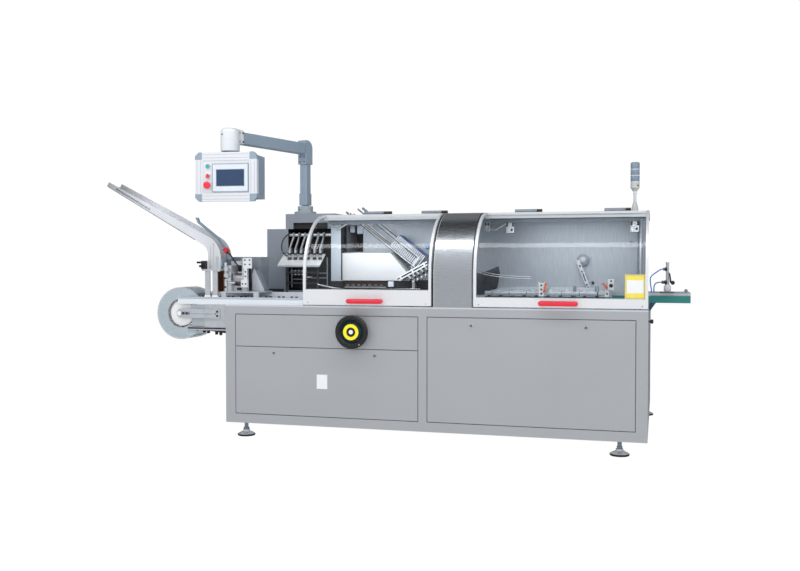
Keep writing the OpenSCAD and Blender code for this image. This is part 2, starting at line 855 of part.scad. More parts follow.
module right_guard_knuckles() {
    color("black") place() guard_knuckles(right_hinges);
}

module hinge_beam() {
    color("silver") place() {
        box([left_guard[0], base_l], beam_y, beam_z);
        for (h = concat(left_hinges, right_hinges)) {
            bar_x([h[0], h[1]], hinge_y, hinge_z, barrel_r);
            bar_x([h[1] - 1, h[2] - 2], hinge_y, hinge_z, pin_r);
            box([h[0], h[1]], [hinge_y, beam_y[1]], [beam_z[1] - 1, hinge_z]);
        }
    }
}

hood_t = 10;

module centre_hood() {
    color("silver") place() {
        along_x(hood) guard_section(0, hood_t, tz);
        box(hood, [guard_r - 1, beam_y[1]], [guard_top - hood_t, guard_top]);
    }
}

module rear_housing() {
    roof_t = 10;
    color("lightgray") place() {
        difference() {
            box([left_guard[0], housing_x1], [wall_y, base_d], [tz, beam_z[1]]);
            box([left_guard[0] + 30, left_guard[0] + 134], [wall_y - 1, wall_y + 200], [tz + 295, tz + 455]);
            box([left_guard[0] + wall_t, housing_x1 - wall_t], [wall_y + 220, base_d - wall_t],
                [tz + wall_t, beam_z[1] - wall_t]);
        }
        difference() {
            box([left_guard[0], housing_x1], [beam_y[1], wall_y + 1], [beam_z[1] - roof_t, beam_z[1]]);
            box([left_guard[0] + 34, left_guard[0] + 324], [beam_y[1] + 14, wall_y - 14],
                [beam_z[1] - roof_t - 1, beam_z[1] + 1]);
        }
    }
}

module right_end_wall() {
    inner = arch_t + sheet_t + 8;
    color("lightgray") place() along_x([base_l - 44, base_l - 36]) difference() {
        union() {
            intersection() {
                translate([guard_r, bend_z]) circle(r = guard_r - inner, $fn = 96);
                translate([0, bend_z]) square([guard_r, beam_z[0] - bend_z]);
            }
            translate([inner, tz]) square([guard_r - inner + 1, bend_z - tz]);
            translate([guard_r, tz]) square([wall_y - guard_r, beam_z[0] - tz]);
        }
        translate([track_y - 130, tz + 12]) square([260, 130]);
    }
}

module bay_column() {
    color("lightgray") place() box([left_guard[0] + 2, left_guard[0] + 62], [beam_y[1] - 10, tower_y - 2], [tz, beam_z[0]]);
}

// Inside the left bay

cover_x = [520, 925];
cover_y = 462;
cover_z0 = 127;
cover_h = 286;
cover_side_h = 155;
cover_cut = 115;

module inner_cover() {
    color("white") place() along_y([cover_y, wall_y]) polygon([
        [cover_x[0], tz + cover_z0], [cover_x[1], tz + cover_z0], [cover_x[1], tz + cover_side_h],
        [cover_x[1] - cover_cut, tz + cover_h], [cover_x[0], tz + cover_h]
    ]);
}

slide = 38;
slide_top = [536, tz + 520];
slide_l = 545;
rail_ys = [476, 540, 604];
// Side rails above the floor rails, and the drop at the lower end of each floor rail
guide_rise = 60;
end_drop = 52;

// Places children on the magazine's slope, X down the slope and Y across it
module on_slide() {
    translate([slide_top[0], 0, slide_top[1]]) rotate([0, slide, 0]) children();
}

module magazine_rails() {
    w = 10;
    low = slide_top + slide_l * [cos(slide), -sin(slide)];
    color("silver") place() {
        on_slide() {
            for (y = rail_ys) translate([0, y, 0]) cube([slide_l, w, w]);
            for (y = [rail_ys[0], rail_ys[2]]) translate([70, y, guide_rise]) cube([slide_l - 110, w, w]);
            for (x = [120, slide_l - 46]) {
                translate([x, rail_ys[0], -8]) cube([16, wall_y - rail_ys[0], 8.5]);
                for (y = [rail_ys[0], rail_ys[2]]) translate([x, y, w - 1]) cube([16, w, guide_rise - w + 2]);
            }
        }
        for (y = rail_ys) box([low[0] - 6, low[0] + 4], [y, y + w], [low[1] - end_drop, low[1] + 8]);
    }
}

stack_at = 330;
stack_size = [200, 110, 84];

module carton_stack() {
    color("lightsteelblue") place() on_slide() translate([stack_at, 490, 10]) cube(stack_size);
}

module carton_picker() {
    color("silver") place() {
        strut_xz([400, 440], [880, tz + 130], [1046, tz + 218], 14);
        strut_xz([446, 456], [880, tz + 130], [1046, tz + 218], 14);
        strut_xz([440, 446], [900, tz + 140], [930, tz + 156], 10);
        post_z(960, 420, [tz, tz + 176], 9);
    }
}

// Inside the right bay

module carton_conveyor() {
    lug_gap = 64;
    count = floor((track_x[1] - track_x[0] - 20) / lug_gap);
    color("dimgray") place() {
        box(track_x, [track_y - 40, track_y + 40], [tz, tz + 48]);
        for (k = [0 : count - 1])
            box([track_x[0] + 12 + k * lug_gap, track_x[0] + 22 + k * lug_gap], [track_y - 30, track_y + 30], [tz + 47, tz + 76]);
    }
}

rod_z = tz + 69;

module guide_clamps() {
    color("silver") place() for (y = [track_y - 90, track_y + 90]) union() {
        bar_x([track_x[0] + 10, track_x[1] - 10], y, rod_z, 11);
        for (x = [track_x[0] + 60 : 92 : track_x[1] - 60]) bar_x([x - 9, x + 9], y, rod_z, 15);
        for (x = [1704, base_l - 210]) {
            post_z(x, y, [tz, tz + 120], 8);
            box([x - 14, x + 14], [y - 17, y + 17], [rod_z - 17, rod_z + 32]);
        }
    }
}

module flap_crank() {
    hub = [base_l - 361, tz + 246];
    pin = hub + [-25, -12];
    tip = hub + [43, -182];
    arm_y = [wall_y - 37, wall_y - 25];
    color("dimgray") place() {
        bar_y(hub[0], [arm_y[1], wall_y], hub[1], 31);
        along_y(arm_y) {
            for (p = [pin, tip]) translate(p) circle(r = 12);
            translate(pin) rotate(atan2(tip[1] - pin[1], tip[0] - pin[0])) translate([0, -10])
                square([norm(tip - pin), 20]);
        }
    }
}

module safety_switches() {
    color("dimgray") place() for (x = [[right_guard[0] + 112, right_guard[0] + 144], [base_l - 92, base_l - 60]])
        box(x, [beam_y[0] + 4, beam_y[0] + 40], [beam_z[0] - 60, beam_z[0]]);
}

// Outfeed

belt_ends = [belt_x[0] + belt_r, belt_x[1] - belt_r];
belt_y = [track_y - belt_w / 2, track_y + belt_w / 2];
side_t = 8;
side_gap = 4;
belt_sides = [[belt_y[0] - side_gap - side_t, belt_y[0] - side_gap], [belt_y[1] + side_gap, belt_y[1] + side_gap + side_t]];
skirt_z = [belt_cz - belt_r - 2, belt_cz + belt_r];
rail_end_z = skirt_z[1] + 18;

module belt_section(r) {
    for (x = belt_ends) translate([x, belt_cz]) circle(r = r);
    translate([belt_ends[0], belt_cz - r]) square([belt_ends[1] - belt_ends[0], 2 * r]);
}

module outfeed_belt() {
    color("seagreen") place() along_y(belt_y) difference() {
        belt_section(belt_r);
        belt_section(belt_r - belt_t);
    }
}

module belt_skirts() {
    color("teal") place() for (y = belt_sides) box([belt_x[0] - 6, belt_x[1]], y, skirt_z);
}

// Side rails over the skirts, two rollers, legs on the table and brackets on the end of the cabinet
module outfeed_frame() {
    color("silver") place() {
        for (y = belt_sides) {
            box([belt_x[0] - 6, belt_x[1]], y, [skirt_z[1], rail_end_z]);
            box([belt_x[0] + 10, belt_x[0] + 110], y, [tz, skirt_z[0]]);
            along_y(y) polygon([[base_l, tz - 14], [base_l + 6, tz - 14], [base_l + 32, skirt_z[0]], [base_l, skirt_z[0]]]);
        }
        for (x = belt_ends) bar_y(x, [belt_sides[0][1], belt_sides[1][0]], belt_cz, belt_r - belt_t - 0.3);
    }
}

stop_x = base_l + 90;
stop_y = belt_y[0] - 8;
stop_z = rail_end_z;

module stop_column() {
    color("silver") place() {
        box([stop_x - 18, stop_x + 18], [stop_y - 12, stop_y + 12], [stop_z, stop_z + 34]);
        post_z(stop_x, stop_y, [stop_z + 33, tz + 234], 8);
        box([stop_x - 22, stop_x - 4], [stop_y - 7, stop_y + 7], [tz + 190, tz + 206]);
        box([stop_x - 30, stop_x - 4], [stop_y - 7, stop_y + 7], [stop_z + 45, stop_z + 59]);
    }
}

tube_r = 3;
tube_end = base_l + 12;
upper_start = [stop_x - 22, stop_y, tz + 198];
upper_end = [tube_end, stop_y, stop_z];
upper_tube = concat([upper_start], route([
    upper_start - [8, 0, 0], [stop_x - 52, stop_y - 3, tz + 184], [tube_end - 2, stop_y - 5, tz + 160],
    [tube_end - 6, stop_y - 5, tz + 134], upper_end + [0, 0, 10]
], 6), [upper_end]);
lower_start = [stop_x - 30, stop_y, stop_z + 52];
lower_end = [tube_end + 12, stop_y, stop_z];
lower_bend = 26;
lower_tube = concat([lower_start], route([
    lower_start - [6, 0, 0], lower_end + lower_bend * [0.5, 0, 1.87], lower_end + lower_bend * [0.13, 0, 1.5],
    lower_end + lower_bend * [0, 0, 1], lower_end + [0, 0, 10]
], 5), [lower_end]);

module air_tubes() {
    color("dodgerblue") place() {
        sweep_tube(upper_tube, tube_r);
        sweep_tube(lower_tube, tube_r);
    }
}

module signal_lamp() {
    lamp_x = base_l - 80;
    lamp_y = 550;
    z = beam_z[1];
    color("slategray") place() translate([lamp_x, lamp_y, z]) rotate_extrude() polygon([
        [0, 0], [30, 0], [30, 6], [20, 10], [14, 62], [8, 66], [8, 128], [14, 130], [20, 140],
        [24, 142], [24, 280], [20, 284], [0, 284]
    ]);
}

base_cabinet();
front_panels();
rear_panels();
panel_locks();
levelling_feet();
table_top();
handwheel_bearing();
handwheel();
handwheel_ring();
infeed_frame();
infeed_rails();
infeed_sprockets();
infeed_chain();
pusher_lugs();
infeed_chain_guard();
product_chute();
chute_guide_bar();
chute_stand();
feeder_drive();
feeder_cover();
sensor_lead();
tower_housing();
leaflet_frame();
leaflet_tray();
suction_arms();
arm_base();
arm_column();
arm_beam();
panel_box();
panel_rear();
panel_corners();
panel_screen();
panel_buttons();
left_guard_frame();
left_guard_window();
left_guard_handle();
left_guard_knuckles();
right_guard_frame();
right_guard_window();
right_guard_handle();
right_guard_knuckles();
hinge_beam();
centre_hood();
rear_housing();
right_end_wall();
bay_column();
inner_cover();
magazine_rails();
carton_stack();
carton_picker();
carton_conveyor();
guide_clamps();
flap_crank();
safety_switches();
outfeed_frame();
belt_skirts();
outfeed_belt();
stop_column();
air_tubes();
signal_lamp();
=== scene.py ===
# %% [markdown]
# # Dressing an automatic cartoner
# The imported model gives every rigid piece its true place. This lesson gives each of them a finish and
# adds the small things that make it a machine: seals, screws, cups, levers, plates and leads.
# Everything is in metres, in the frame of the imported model.

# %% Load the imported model
import math

import bpy
from mathutils import Matrix, Vector


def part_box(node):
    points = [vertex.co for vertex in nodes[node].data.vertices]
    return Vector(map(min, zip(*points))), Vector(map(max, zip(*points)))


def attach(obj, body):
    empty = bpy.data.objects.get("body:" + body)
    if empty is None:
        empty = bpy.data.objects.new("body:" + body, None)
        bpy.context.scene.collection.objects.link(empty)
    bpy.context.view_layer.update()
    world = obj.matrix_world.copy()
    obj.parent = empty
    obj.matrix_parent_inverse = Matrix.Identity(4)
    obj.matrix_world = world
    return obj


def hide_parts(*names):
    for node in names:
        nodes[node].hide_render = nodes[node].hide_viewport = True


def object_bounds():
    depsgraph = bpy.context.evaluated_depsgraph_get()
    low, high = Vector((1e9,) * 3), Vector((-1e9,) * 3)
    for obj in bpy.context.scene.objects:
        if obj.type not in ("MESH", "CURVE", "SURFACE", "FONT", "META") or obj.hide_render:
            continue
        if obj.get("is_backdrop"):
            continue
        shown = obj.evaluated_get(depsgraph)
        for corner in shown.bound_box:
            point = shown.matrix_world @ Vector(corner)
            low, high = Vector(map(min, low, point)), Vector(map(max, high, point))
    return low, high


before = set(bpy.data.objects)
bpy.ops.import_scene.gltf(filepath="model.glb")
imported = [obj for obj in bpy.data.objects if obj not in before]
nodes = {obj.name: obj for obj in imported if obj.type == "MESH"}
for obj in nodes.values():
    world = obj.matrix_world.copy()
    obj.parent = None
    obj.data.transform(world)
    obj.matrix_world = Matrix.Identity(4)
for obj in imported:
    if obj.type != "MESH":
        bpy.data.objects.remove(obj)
cad_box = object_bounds()

# %% [markdown]
# The drawing of the machine is measured from the cabinet's front left corner on the floor, in
# millimetres. One helper turns such a measure into a point of the model, so that a piece can be placed
# with the same numbers that the drawing has.

# %% A point on the drawing
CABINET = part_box("base_cabinet")[0]
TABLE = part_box("table_top")[1].z * 1000


def at(x, y, z):
    """The point of the model that lies x right of, y behind and z above the cabinet's corner, in mm."""
    return Vector((CABINET.x + x / 1000, CABINET.y + y / 1000, z / 1000))


print("table height", round(TABLE, 1), "mm")

# %% [markdown]
# ## Camera
# A product photograph of a machine is taken from some way off with a normal lens, so that upright edges
# stay upright. The camera here stands in front of the right end, about chest high, and looks a little
# to the left and a touch down.

# %% Camera
camera_data = bpy.data.cameras.new("studio_camera")
camera_data.lens = 41.56
camera_data.sensor_width = 36
camera = bpy.data.objects.new("studio_camera", camera_data)
camera.location = at(2293.6, -4638.5, 973.4)
camera.rotation_euler = (math.radians(88.495), 0, math.radians(15.609))
bpy.context.scene.collection.objects.link(camera)
bpy.context.scene.camera = camera
print("camera at", [round(c, 3) for c in camera.location])

# %% [markdown]
# ## Light
# Curved steel shows its shape only through what it mirrors. One long soft box above the machine's front
# gives the bright band along the guards and the hood, a dim ceiling makes the band stand out, and broad
# fills from the front light the paint. The plain backdrop is white to the camera.

# %% World
world = bpy.data.worlds.new("studio")
bpy.context.scene.world = world
bpy.context.scene.view_settings.view_transform = "Standard"
world.use_nodes = True
sky = world.node_tree
sky.nodes.clear()


def wire(tree, kind, links=(), **values):
    """Adds a node to a tree, sets its sockets and properties by name, and connects what feeds it."""
    node = tree.nodes.new(kind)
    for key, value in values.items():
        if hasattr(node, key):
            setattr(node, key, value)
        else:
            node.inputs[key.replace("_", " ")].default_value = value
    for socket, source in links:
        tree.links.new(source, node.inputs[socket])
    return node


coordinates = wire(sky, "ShaderNodeTexCoord")
height = wire(sky, "ShaderNodeSeparateXYZ", [(0, coordinates.outputs["Generated"])])
ceiling = wire(sky, "ShaderNodeValToRGB", [(0, height.outputs["Z"])])
behind = wire(
    sky, "ShaderNodeMapRange", [(0, height.outputs["Y"])],
    From_Min=-0.15, From_Max=0.25, To_Min=1.0, To_Max=0.30)
STOPS = [(0.0, 0.50), (0.35, 0.56), (0.65, 0.62), (0.80, 0.58), (0.90, 0.16), (1.0, 0.10)]
while len(ceiling.color_ramp.elements) < len(STOPS):
    ceiling.color_ramp.elements.new(0.5)
for stop, (place, level) in zip(ceiling.color_ramp.elements, STOPS):
    stop.position = place
    stop.color = (level, level * 1.01, level * 1.03, 1)
path = wire(sky, "ShaderNodeLightPath")
mirrored = wire(
    sky, "ShaderNodeBackground", [("Color", ceiling.outputs["Color"]), ("Strength", behind.outputs[0])])
seen = wire(sky, "ShaderNodeBackground", Color=(1, 1, 1, 1), Strength=1.02)
either = wire(
    sky, "ShaderNodeMixShader",
    [(0, path.outputs["Is Camera Ray"]), (1, mirrored.outputs[0]), (2, seen.outputs[0])])
wire(sky, "ShaderNodeOutputWorld", [(0, either.outputs[0])])
print("world ready")


# %% Lamps
def soft_box(name, place, target, size, watts, mirrored=True, lights=True, spread=180):
    """A rectangular lamp that faces a point. It may be mirrored in bright surfaces, light dull ones, or both."""
    lamp_data = bpy.data.lights.new(name, "AREA")
    lamp_data.shape = "RECTANGLE"
    lamp_data.size, lamp_data.size_y = size
    lamp_data.energy = watts
    lamp_data.spread = math.radians(spread)
    lamp = bpy.data.objects.new(name, lamp_data)
    lamp.location = place
    lamp.rotation_euler = (Vector(target) - Vector(place)).to_track_quat("-Z", "Y").to_euler()
    lamp.visible_glossy = mirrored
    lamp.visible_diffuse = lights
    lamp.visible_camera = False
    bpy.context.scene.collection.objects.link(lamp)


BAND = (at(1100, -1060, 2915), at(1100, 120, 1065), (6.5, 0.36))
soft_box("band_light", *BAND, 42)
soft_box("band_gleam", *BAND, 50, lights=False)
soft_box("front_fill", at(600, -4200, 2400), at(1100, 0, 600), (5.0, 3.0), 45, mirrored=False)
soft_box("right_fill", at(5200, -2600, 2200), at(2000, 400, 700), (3.0, 3.0), 18, mirrored=False)
soft_box("back_fill", at(1100, 5200, 2400), at(1100, 1500, 600), (5.0, 3.0), 60, mirrored=False)
soft_box("left_bay_light", at(800, 230, 1140), at(780, 640, 900), (0.60, 0.12), 1.1, mirrored=False, spread=110)
soft_box("right_bay_light", at(1900, 230, 1140), at(1900, 640, 900), (0.70, 0.12), 1.1, mirrored=False, spread=110)

# %% Floor
bpy.ops.object.select_all(action="DESELECT")
bpy.ops.mesh.primitive_plane_add(size=60, location=(0, 0, -0.001))
floor = bpy.context.object
floor.name = "studio_floor"
floor_paint = bpy.data.materials.new("floor_paint")
floor_paint.use_nodes = True
floor_skin = floor_paint.node_tree.nodes["Principled BSDF"]
for socket, value in {
        "Base Color": (0.15, 0.15, 0.15, 1), "Roughness": 0.9, "Specular IOR Level": 0.0,
        "Emission Color": (1, 1, 1, 1), "Emission Strength": 0.95}.items():
    floor_skin.inputs[socket].default_value = value
# Bounced rays find so wide a floor by themselves, so it isn't sampled as a lamp.
floor_paint.cycles.emission_sampling = "NONE"
floor.data.materials.append(floor_paint)
floor.visible_glossy = False
floor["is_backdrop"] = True
print("floor ready")

# %% [markdown]
# ## Finishes
# Each real finish here has a cause that can be seen close up: sprayed paint has a faint orange peel,
# rolled steel has brush lines that run one way, extruded aluminium has fine die lines, moulded plastic a
# grain. The patterns read Object coordinates, so they keep their scale on every piece.


# %% Material helpers
def finish(name, colour, rough, metal=0.0):
    """A new material with one Principled shader, and its tree."""
    material = bpy.data.materials.new(name)
    material.use_nodes = True
    tree = material.node_tree
    skin = tree.nodes["Principled BSDF"]
    skin.inputs["Base Color"].default_value = (*colour, 1)
    skin.inputs["Roughness"].default_value = rough
    skin.inputs["Metallic"].default_value = metal
    return material, tree, skin


def grain(tree, scale, stretch=(1, 1, 1), detail=3.0):
    """A noise that reads Object coordinates, stretched along the way a surface was worked."""
    where = wire(tree, "ShaderNodeTexCoord")
    drawn = wire(tree, "ShaderNodeMapping", [("Vector", where.outputs["Object"])], Scale=stretch)
    return wire(tree, "ShaderNodeTexNoise", [("Vector", drawn.outputs[0])], Scale=scale, Detail=detail)


def vary(tree, skin, noise, colour, spread):
    """The shader's colour wanders a little around its own value."""
    ramp = wire(tree, "ShaderNodeValToRGB", [(0, noise.outputs["Fac"])])
    for stop, place, side in zip(ramp.color_ramp.elements, (0.3, 0.7), (1 - spread, 1 + spread)):
        stop.position = place
        stop.color = (*[min(1.0, c * side) for c in colour], 1)
    tree.links.new(ramp.outputs["Color"], skin.inputs["Base Color"])


def roughen(tree, skin, noise, low, high):
    """The shader's gloss wanders between two roughness values."""
    span = wire(
        tree, "ShaderNodeMapRange", [(0, noise.outputs["Fac"])], From_Min=0.25, From_Max=0.75, To_Min=low, To_Max=high)
    tree.links.new(span.outputs[0], skin.inputs["Roughness"])


def emboss(tree, skin, noise, strength, depth):
    """The noise also lifts the surface a little."""
    bump = wire(tree, "ShaderNodeBump", [("Height", noise.outputs["Fac"])], Strength=strength, Distance=depth)
    tree.links.new(bump.outputs[0], skin.inputs["Normal"])


print("helpers ready")


# %% Paint, plastic and rubber
def paint(name, colour, rough=0.42, spread=0.025):
    """Sprayed coat: cloudy by a hair, with a fine orange peel."""
    material, tree, skin = finish(name, colour, rough)
    vary(tree, skin, grain(tree, 2.2, detail=4.0), colour, spread)
    roughen(tree, skin, grain(tree, 14.0), rough - 0.06, rough + 0.06)
    emboss(tree, skin, grain(tree, 900.0, detail=1.0), 0.05, 0.0004)
    return material


def plastic(name, colour, rough=0.35, spread=0.04):
    """Moulded plastic: an even colour under a fine grain."""
    material, tree, skin = finish(name, colour, rough)
    vary(tree, skin, grain(tree, 40.0), colour, spread)
    roughen(tree, skin, grain(tree, 90.0), rough - 0.07, rough + 0.07)
    emboss(tree, skin, grain(tree, 2400.0, detail=1.0), 0.06, 0.0002)
    return material


cabinet_paint = paint("cabinet_paint", (0.365, 0.385, 0.410))
tower_paint = paint("tower_paint", (0.255, 0.285, 0.335))
white_paint = paint("white_paint", (0.52, 0.53, 0.545), 0.40, 0.01)
soft_grey = paint("soft_grey", (0.42, 0.47, 0.54), 0.40, 0.03)
pale_casting = paint("pale_casting", (0.66, 0.70, 0.73), 0.35, 0.015)
sleeve_paint = paint("sleeve_paint", (0.34, 0.41, 0.44), 0.40, 0.03)
slate_paint = paint("slate_paint", (0.262, 0.338, 0.418), 0.38, 0.03)
light_slate = paint("light_slate", (0.38, 0.43, 0.48), 0.38, 0.03)
dark_slate = paint("dark_slate", (0.26, 0.33, 0.42), 0.40, 0.03)
skirt_green = paint("skirt_green", (0.020, 0.205, 0.190), 0.38, 0.05)
belt_green = plastic("belt_green", (0.015, 0.190, 0.150), 0.50, 0.08)
black_plastic = plastic("black_plastic", (0.012, 0.012, 0.014), 0.40, 0.10)
white_plastic = plastic("white_plastic", (0.82, 0.84, 0.85), 0.40, 0.02)
red_plastic = plastic("red_plastic", (0.78, 0.035, 0.060), 0.25, 0.05)
grip_red = plastic("grip_red", (0.78, 0.030, 0.055), 0.14, 0.03)
sign_yellow = plastic("sign_yellow", (0.86, 0.72, 0.10), 0.30, 0.03)
screen_navy = plastic("screen_navy", (0.030, 0.060, 0.128), 0.10, 0.05)
bezel_blue = plastic("bezel_blue", (0.66, 0.72, 0.78), 0.35, 0.03)
# painted reflection: the black web's colour is tinted teal for the teal that it mirrors
web_teal_sheen = plastic("web_teal_sheen", (0.012, 0.040, 0.055), 0.22, 0.20)
lamp_cream = plastic("lamp_cream", (0.50, 0.52, 0.50), 0.35, 0.03)
lamp_pale = plastic("lamp_pale", (0.62, 0.65, 0.72), 0.30, 0.03)
blank_card = plastic("blank_card", (0.40, 0.42, 0.46), 0.50, 0.06)
card_blue = plastic("card_blue", (0.13, 0.23, 0.52), 0.45, 0.10)
green_plastic = plastic("green_plastic", (0.02, 0.48, 0.40), 0.25, 0.05)
yellow_plastic = plastic("yellow_plastic", (0.95, 0.83, 0.02), 0.35, 0.03)
orange_plastic = plastic("orange_plastic", (0.90, 0.13, 0.01), 0.35, 0.05)
black_rubber = plastic("black_rubber", (0.014, 0.014, 0.015), 0.60, 0.12)
blue_tube = plastic("blue_tube", (0.035, 0.205, 0.600), 0.28, 0.05)
lamp_plastic = plastic("lamp_plastic", (0.21, 0.27, 0.35), 0.22, 0.03)
print("coats and plastics", len(bpy.data.materials))


# %% Metals
def brushed(name, colour, rough, along=(1.5, 60, 60), spread=0.10, lift=0.06, metal=1.0):
    """Rolled or drawn metal: brush lines along one way, in the colour, the gloss and the relief."""
    material, tree, skin = finish(name, colour, rough, metal)
    lines = grain(tree, 14.0, along)
    vary(tree, skin, lines, colour, spread)
    roughen(tree, skin, lines, rough - 0.07, rough + 0.10)
    emboss(tree, skin, lines, lift, 0.0006)
    return material


def machined(name, colour, rough, spread=0.08, metal=1.0):
    """Turned or milled metal: fine tool marks and slight stains."""
    material, tree, skin = finish(name, colour, rough, metal)
    vary(tree, skin, grain(tree, 30.0, detail=5.0), colour, spread)
    roughen(tree, skin, grain(tree, 120.0), rough - 0.08, rough + 0.10)
    emboss(tree, skin, grain(tree, 160.0), 0.02, 0.0003)
    return material


def paint_shade_along(material, axis, start, end, last):
    """Paints shade into a finish: its colour dims from one place to another along an axis."""
    tree = material.node_tree
    colour = tree.nodes["Principled BSDF"].inputs["Base Color"]
    where = wire(tree, "ShaderNodeTexCoord")
    split = wire(tree, "ShaderNodeSeparateXYZ", [(0, where.outputs["Object"])])
    share = wire(
        tree, "ShaderNodeMapRange", [(0, split.outputs[axis])], From_Min=start, From_Max=end, To_Min=1.0, To_Max=last)
    plain = colour.links[0].from_socket
    dimmed = wire(tree, "ShaderNodeVectorMath", [(0, plain), ("Scale", share.outputs[0])], operation="SCALE")
    tree.links.new(dimmed.outputs[0], colour)


hood_steel = brushed("hood_steel", (0.66, 0.70, 0.75), 0.20, spread=0.06, lift=0.03)
wall_steel = brushed("wall_steel", (0.44, 0.48, 0.53), 0.40, (30, 30, 1.2), 0.12, 0.0, 0.4)
table_steel = brushed("table_steel", (0.62, 0.66, 0.71), 0.36, spread=0.03, lift=0.0, metal=0.35)
trough_steel = brushed("trough_steel", (0.78, 0.82, 0.88), 0.34, spread=0.03, lift=0.0, metal=0.2)
guard_aluminium = brushed("guard_aluminium", (0.78, 0.80, 0.83), 0.36, spread=0.02, lift=0.02, metal=0.25)
# painted shade: the top rails of the guard frames are dimmed in colour
paint_shade_along(guard_aluminium, "Z", 1.12, 1.21, 0.92)
chute_aluminium = brushed("chute_aluminium", (0.76, 0.78, 0.82), 0.36, (0.5, 18, 0.5), 0.06, 0.0, 0.25)
# painted shade: the chute's colour dims towards its tip and towards the foot of its drop
paint_shade_along(chute_aluminium, "X", at(-520, 0, 0).x, at(-760, 0, 0).x, 0.42)
paint_shade_along(chute_aluminium, "Z", 1.10, 0.96, 0.80)
panel_aluminium = brushed("panel_aluminium", (0.70, 0.72, 0.76), 0.40, (60, 60, 2), 0.02, 0.02, 0.10)
zinc_steel = machined("zinc_steel", (0.56, 0.59, 0.63), 0.34, metal=0.5)
dark_steel = machined("dark_steel", (0.085, 0.09, 0.10), 0.42, 0.25)
bright_steel = machined("bright_steel", (0.78, 0.80, 0.83), 0.22, metal=0.6)
hinge_grey = machined("hinge_grey", (0.24, 0.28, 0.33), 0.36, metal=0.4)
brass = machined("brass", (0.70, 0.55, 0.28), 0.25)
copper_brown = paint("copper_brown", (0.20, 0.075, 0.045), 0.40, 0.10)
print("metals ready")

# %% Clear sheet
MILK = (0.60, 0.68, 0.74)


def clear_sheet(name, tint, blend, mirrored, slanted, milk):
    """Clear plastic: light goes through it, a little is scattered, and more is mirrored at a slant."""
    material, tree, skin = finish(name, MILK, 0.50)
    vary(tree, skin, grain(tree, 6.0), MILK, 0.03)
    through = wire(tree, "ShaderNodeBsdfTransparent", Color=(*tint, 1))
    sheet = wire(tree, "ShaderNodeMixShader", [(1, through.outputs[0]), (2, skin.outputs[0])], Fac=milk)
    gloss = wire(tree, "ShaderNodeBsdfGlossy", Color=(1, 1, 1, 1))
    roughen(tree, gloss, grain(tree, 5.0, (1, 4, 4)), 0.03, 0.10)
    slant = wire(tree, "ShaderNodeLayerWeight", Blend=blend)
    share = wire(tree, "ShaderNodeMapRange", [(0, slant.outputs["Fresnel"])], To_Min=mirrored, To_Max=slanted)
    both = wire(tree, "ShaderNodeMixShader", [(0, share.outputs[0]), (1, sheet.outputs[0]), (2, gloss.outputs[0])])
    tree.links.new(both.outputs[0], tree.nodes["Material Output"].inputs["Surface"])
    return material


guard_sheet = clear_sheet("guard_sheet", (0.965, 0.978, 0.985), 0.16, 0.016, 0.12, 0.0)
ring_sheet = clear_sheet("ring_sheet", (0.90, 0.94, 0.955), 0.25, 0.05, 0.40, 0.45)
print("clear sheets ready")

# %% [markdown]
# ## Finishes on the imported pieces
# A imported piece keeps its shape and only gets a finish. A table of piece and finish is enough.

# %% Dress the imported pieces
DRESS = {
    cabinet_paint: ["base_cabinet", "front_panels", "rear_panels"],
    tower_paint: ["tower_housing", "feeder_cover"],
    white_paint: ["inner_cover"],
    slate_paint: ["arm_beam", "arm_column", "panel_corners", "chute_guide_bar"],
    dark_slate: ["panel_rear"],
    sleeve_paint: ["arm_base"],
    light_slate: ["bay_column"],
    table_steel: ["table_top"],
    trough_steel: ["infeed_rails"],
    hood_steel: ["centre_hood"],
    wall_steel: ["right_end_wall", "rear_housing"],
    guard_aluminium: ["left_guard_frame", "right_guard_frame"],
    chute_aluminium: ["product_chute"],
    panel_aluminium: ["panel_box"],
    bright_steel: ["magazine_rails", "carton_picker", "panel_locks", "suction_arms", "flap_crank"],
    zinc_steel: [
        "levelling_feet", "handwheel_bearing", "outfeed_frame", "stop_column", "guide_clamps", "infeed_frame",
        "chute_stand", "feeder_drive"],
    hinge_grey: ["hinge_beam"],
    dark_steel: ["infeed_chain", "leaflet_frame", "carton_conveyor"],
    black_plastic: [
        "handwheel", "pusher_lugs", "left_guard_knuckles", "right_guard_knuckles", "safety_switches"],
    white_plastic: ["infeed_sprockets", "leaflet_tray"],
    blank_card: ["carton_stack"],
    red_plastic: ["left_guard_handle", "right_guard_handle", "panel_buttons"],
    yellow_plastic: ["handwheel_ring"],
    lamp_plastic: ["signal_lamp"],
    bezel_blue: ["panel_screen"],
    skirt_green: ["belt_skirts"],
    belt_green: ["outfeed_belt"],
    blue_tube: ["air_tubes"],
    black_rubber: ["sensor_lead"],
    guard_sheet: ["left_guard_window", "right_guard_window"],
    ring_sheet: ["infeed_chain_guard"],
}


def dress(piece, material):
    """One finish all over a piece."""
    piece.data.materials.clear()
    piece.data.materials.append(material)


for material, names in DRESS.items():
    for name in names:
        dress(nodes[name], material)
left_bare = sorted(set(nodes) - {n for names in DRESS.values() for n in names})
print("dressed", sum(len(v) for v in DRESS.values()), "left bare", left_bare)

# %% [markdown]
# ## Modelling helpers
# The small pieces are modelled as by hand: a primitive is added, shaped in edit mode and finished. An
# operator acts on all that is selected, and the loaded model starts out selected, so each helper begins
# by letting go of everything. Three ways of working cover most of a machine: a box with broken edges, a
# round piece drawn out station by station as on a lathe, and a flat plate cut to an outline.

# %% Boxes and round pieces
AHEAD, UP = (0, -1, 0), (0, 0, 1)


def calm(*chosen):
    """Object mode with only the chosen pieces selected, the first of them active."""
    if bpy.context.object and bpy.context.object.mode != "OBJECT":
        bpy.ops.object.mode_set(mode="OBJECT")
    bpy.ops.object.select_all(action="DESELECT")
    for piece in chosen:
        piece.select_set(True)
    if chosen:
        bpy.context.view_layer.objects.active = chosen[0]


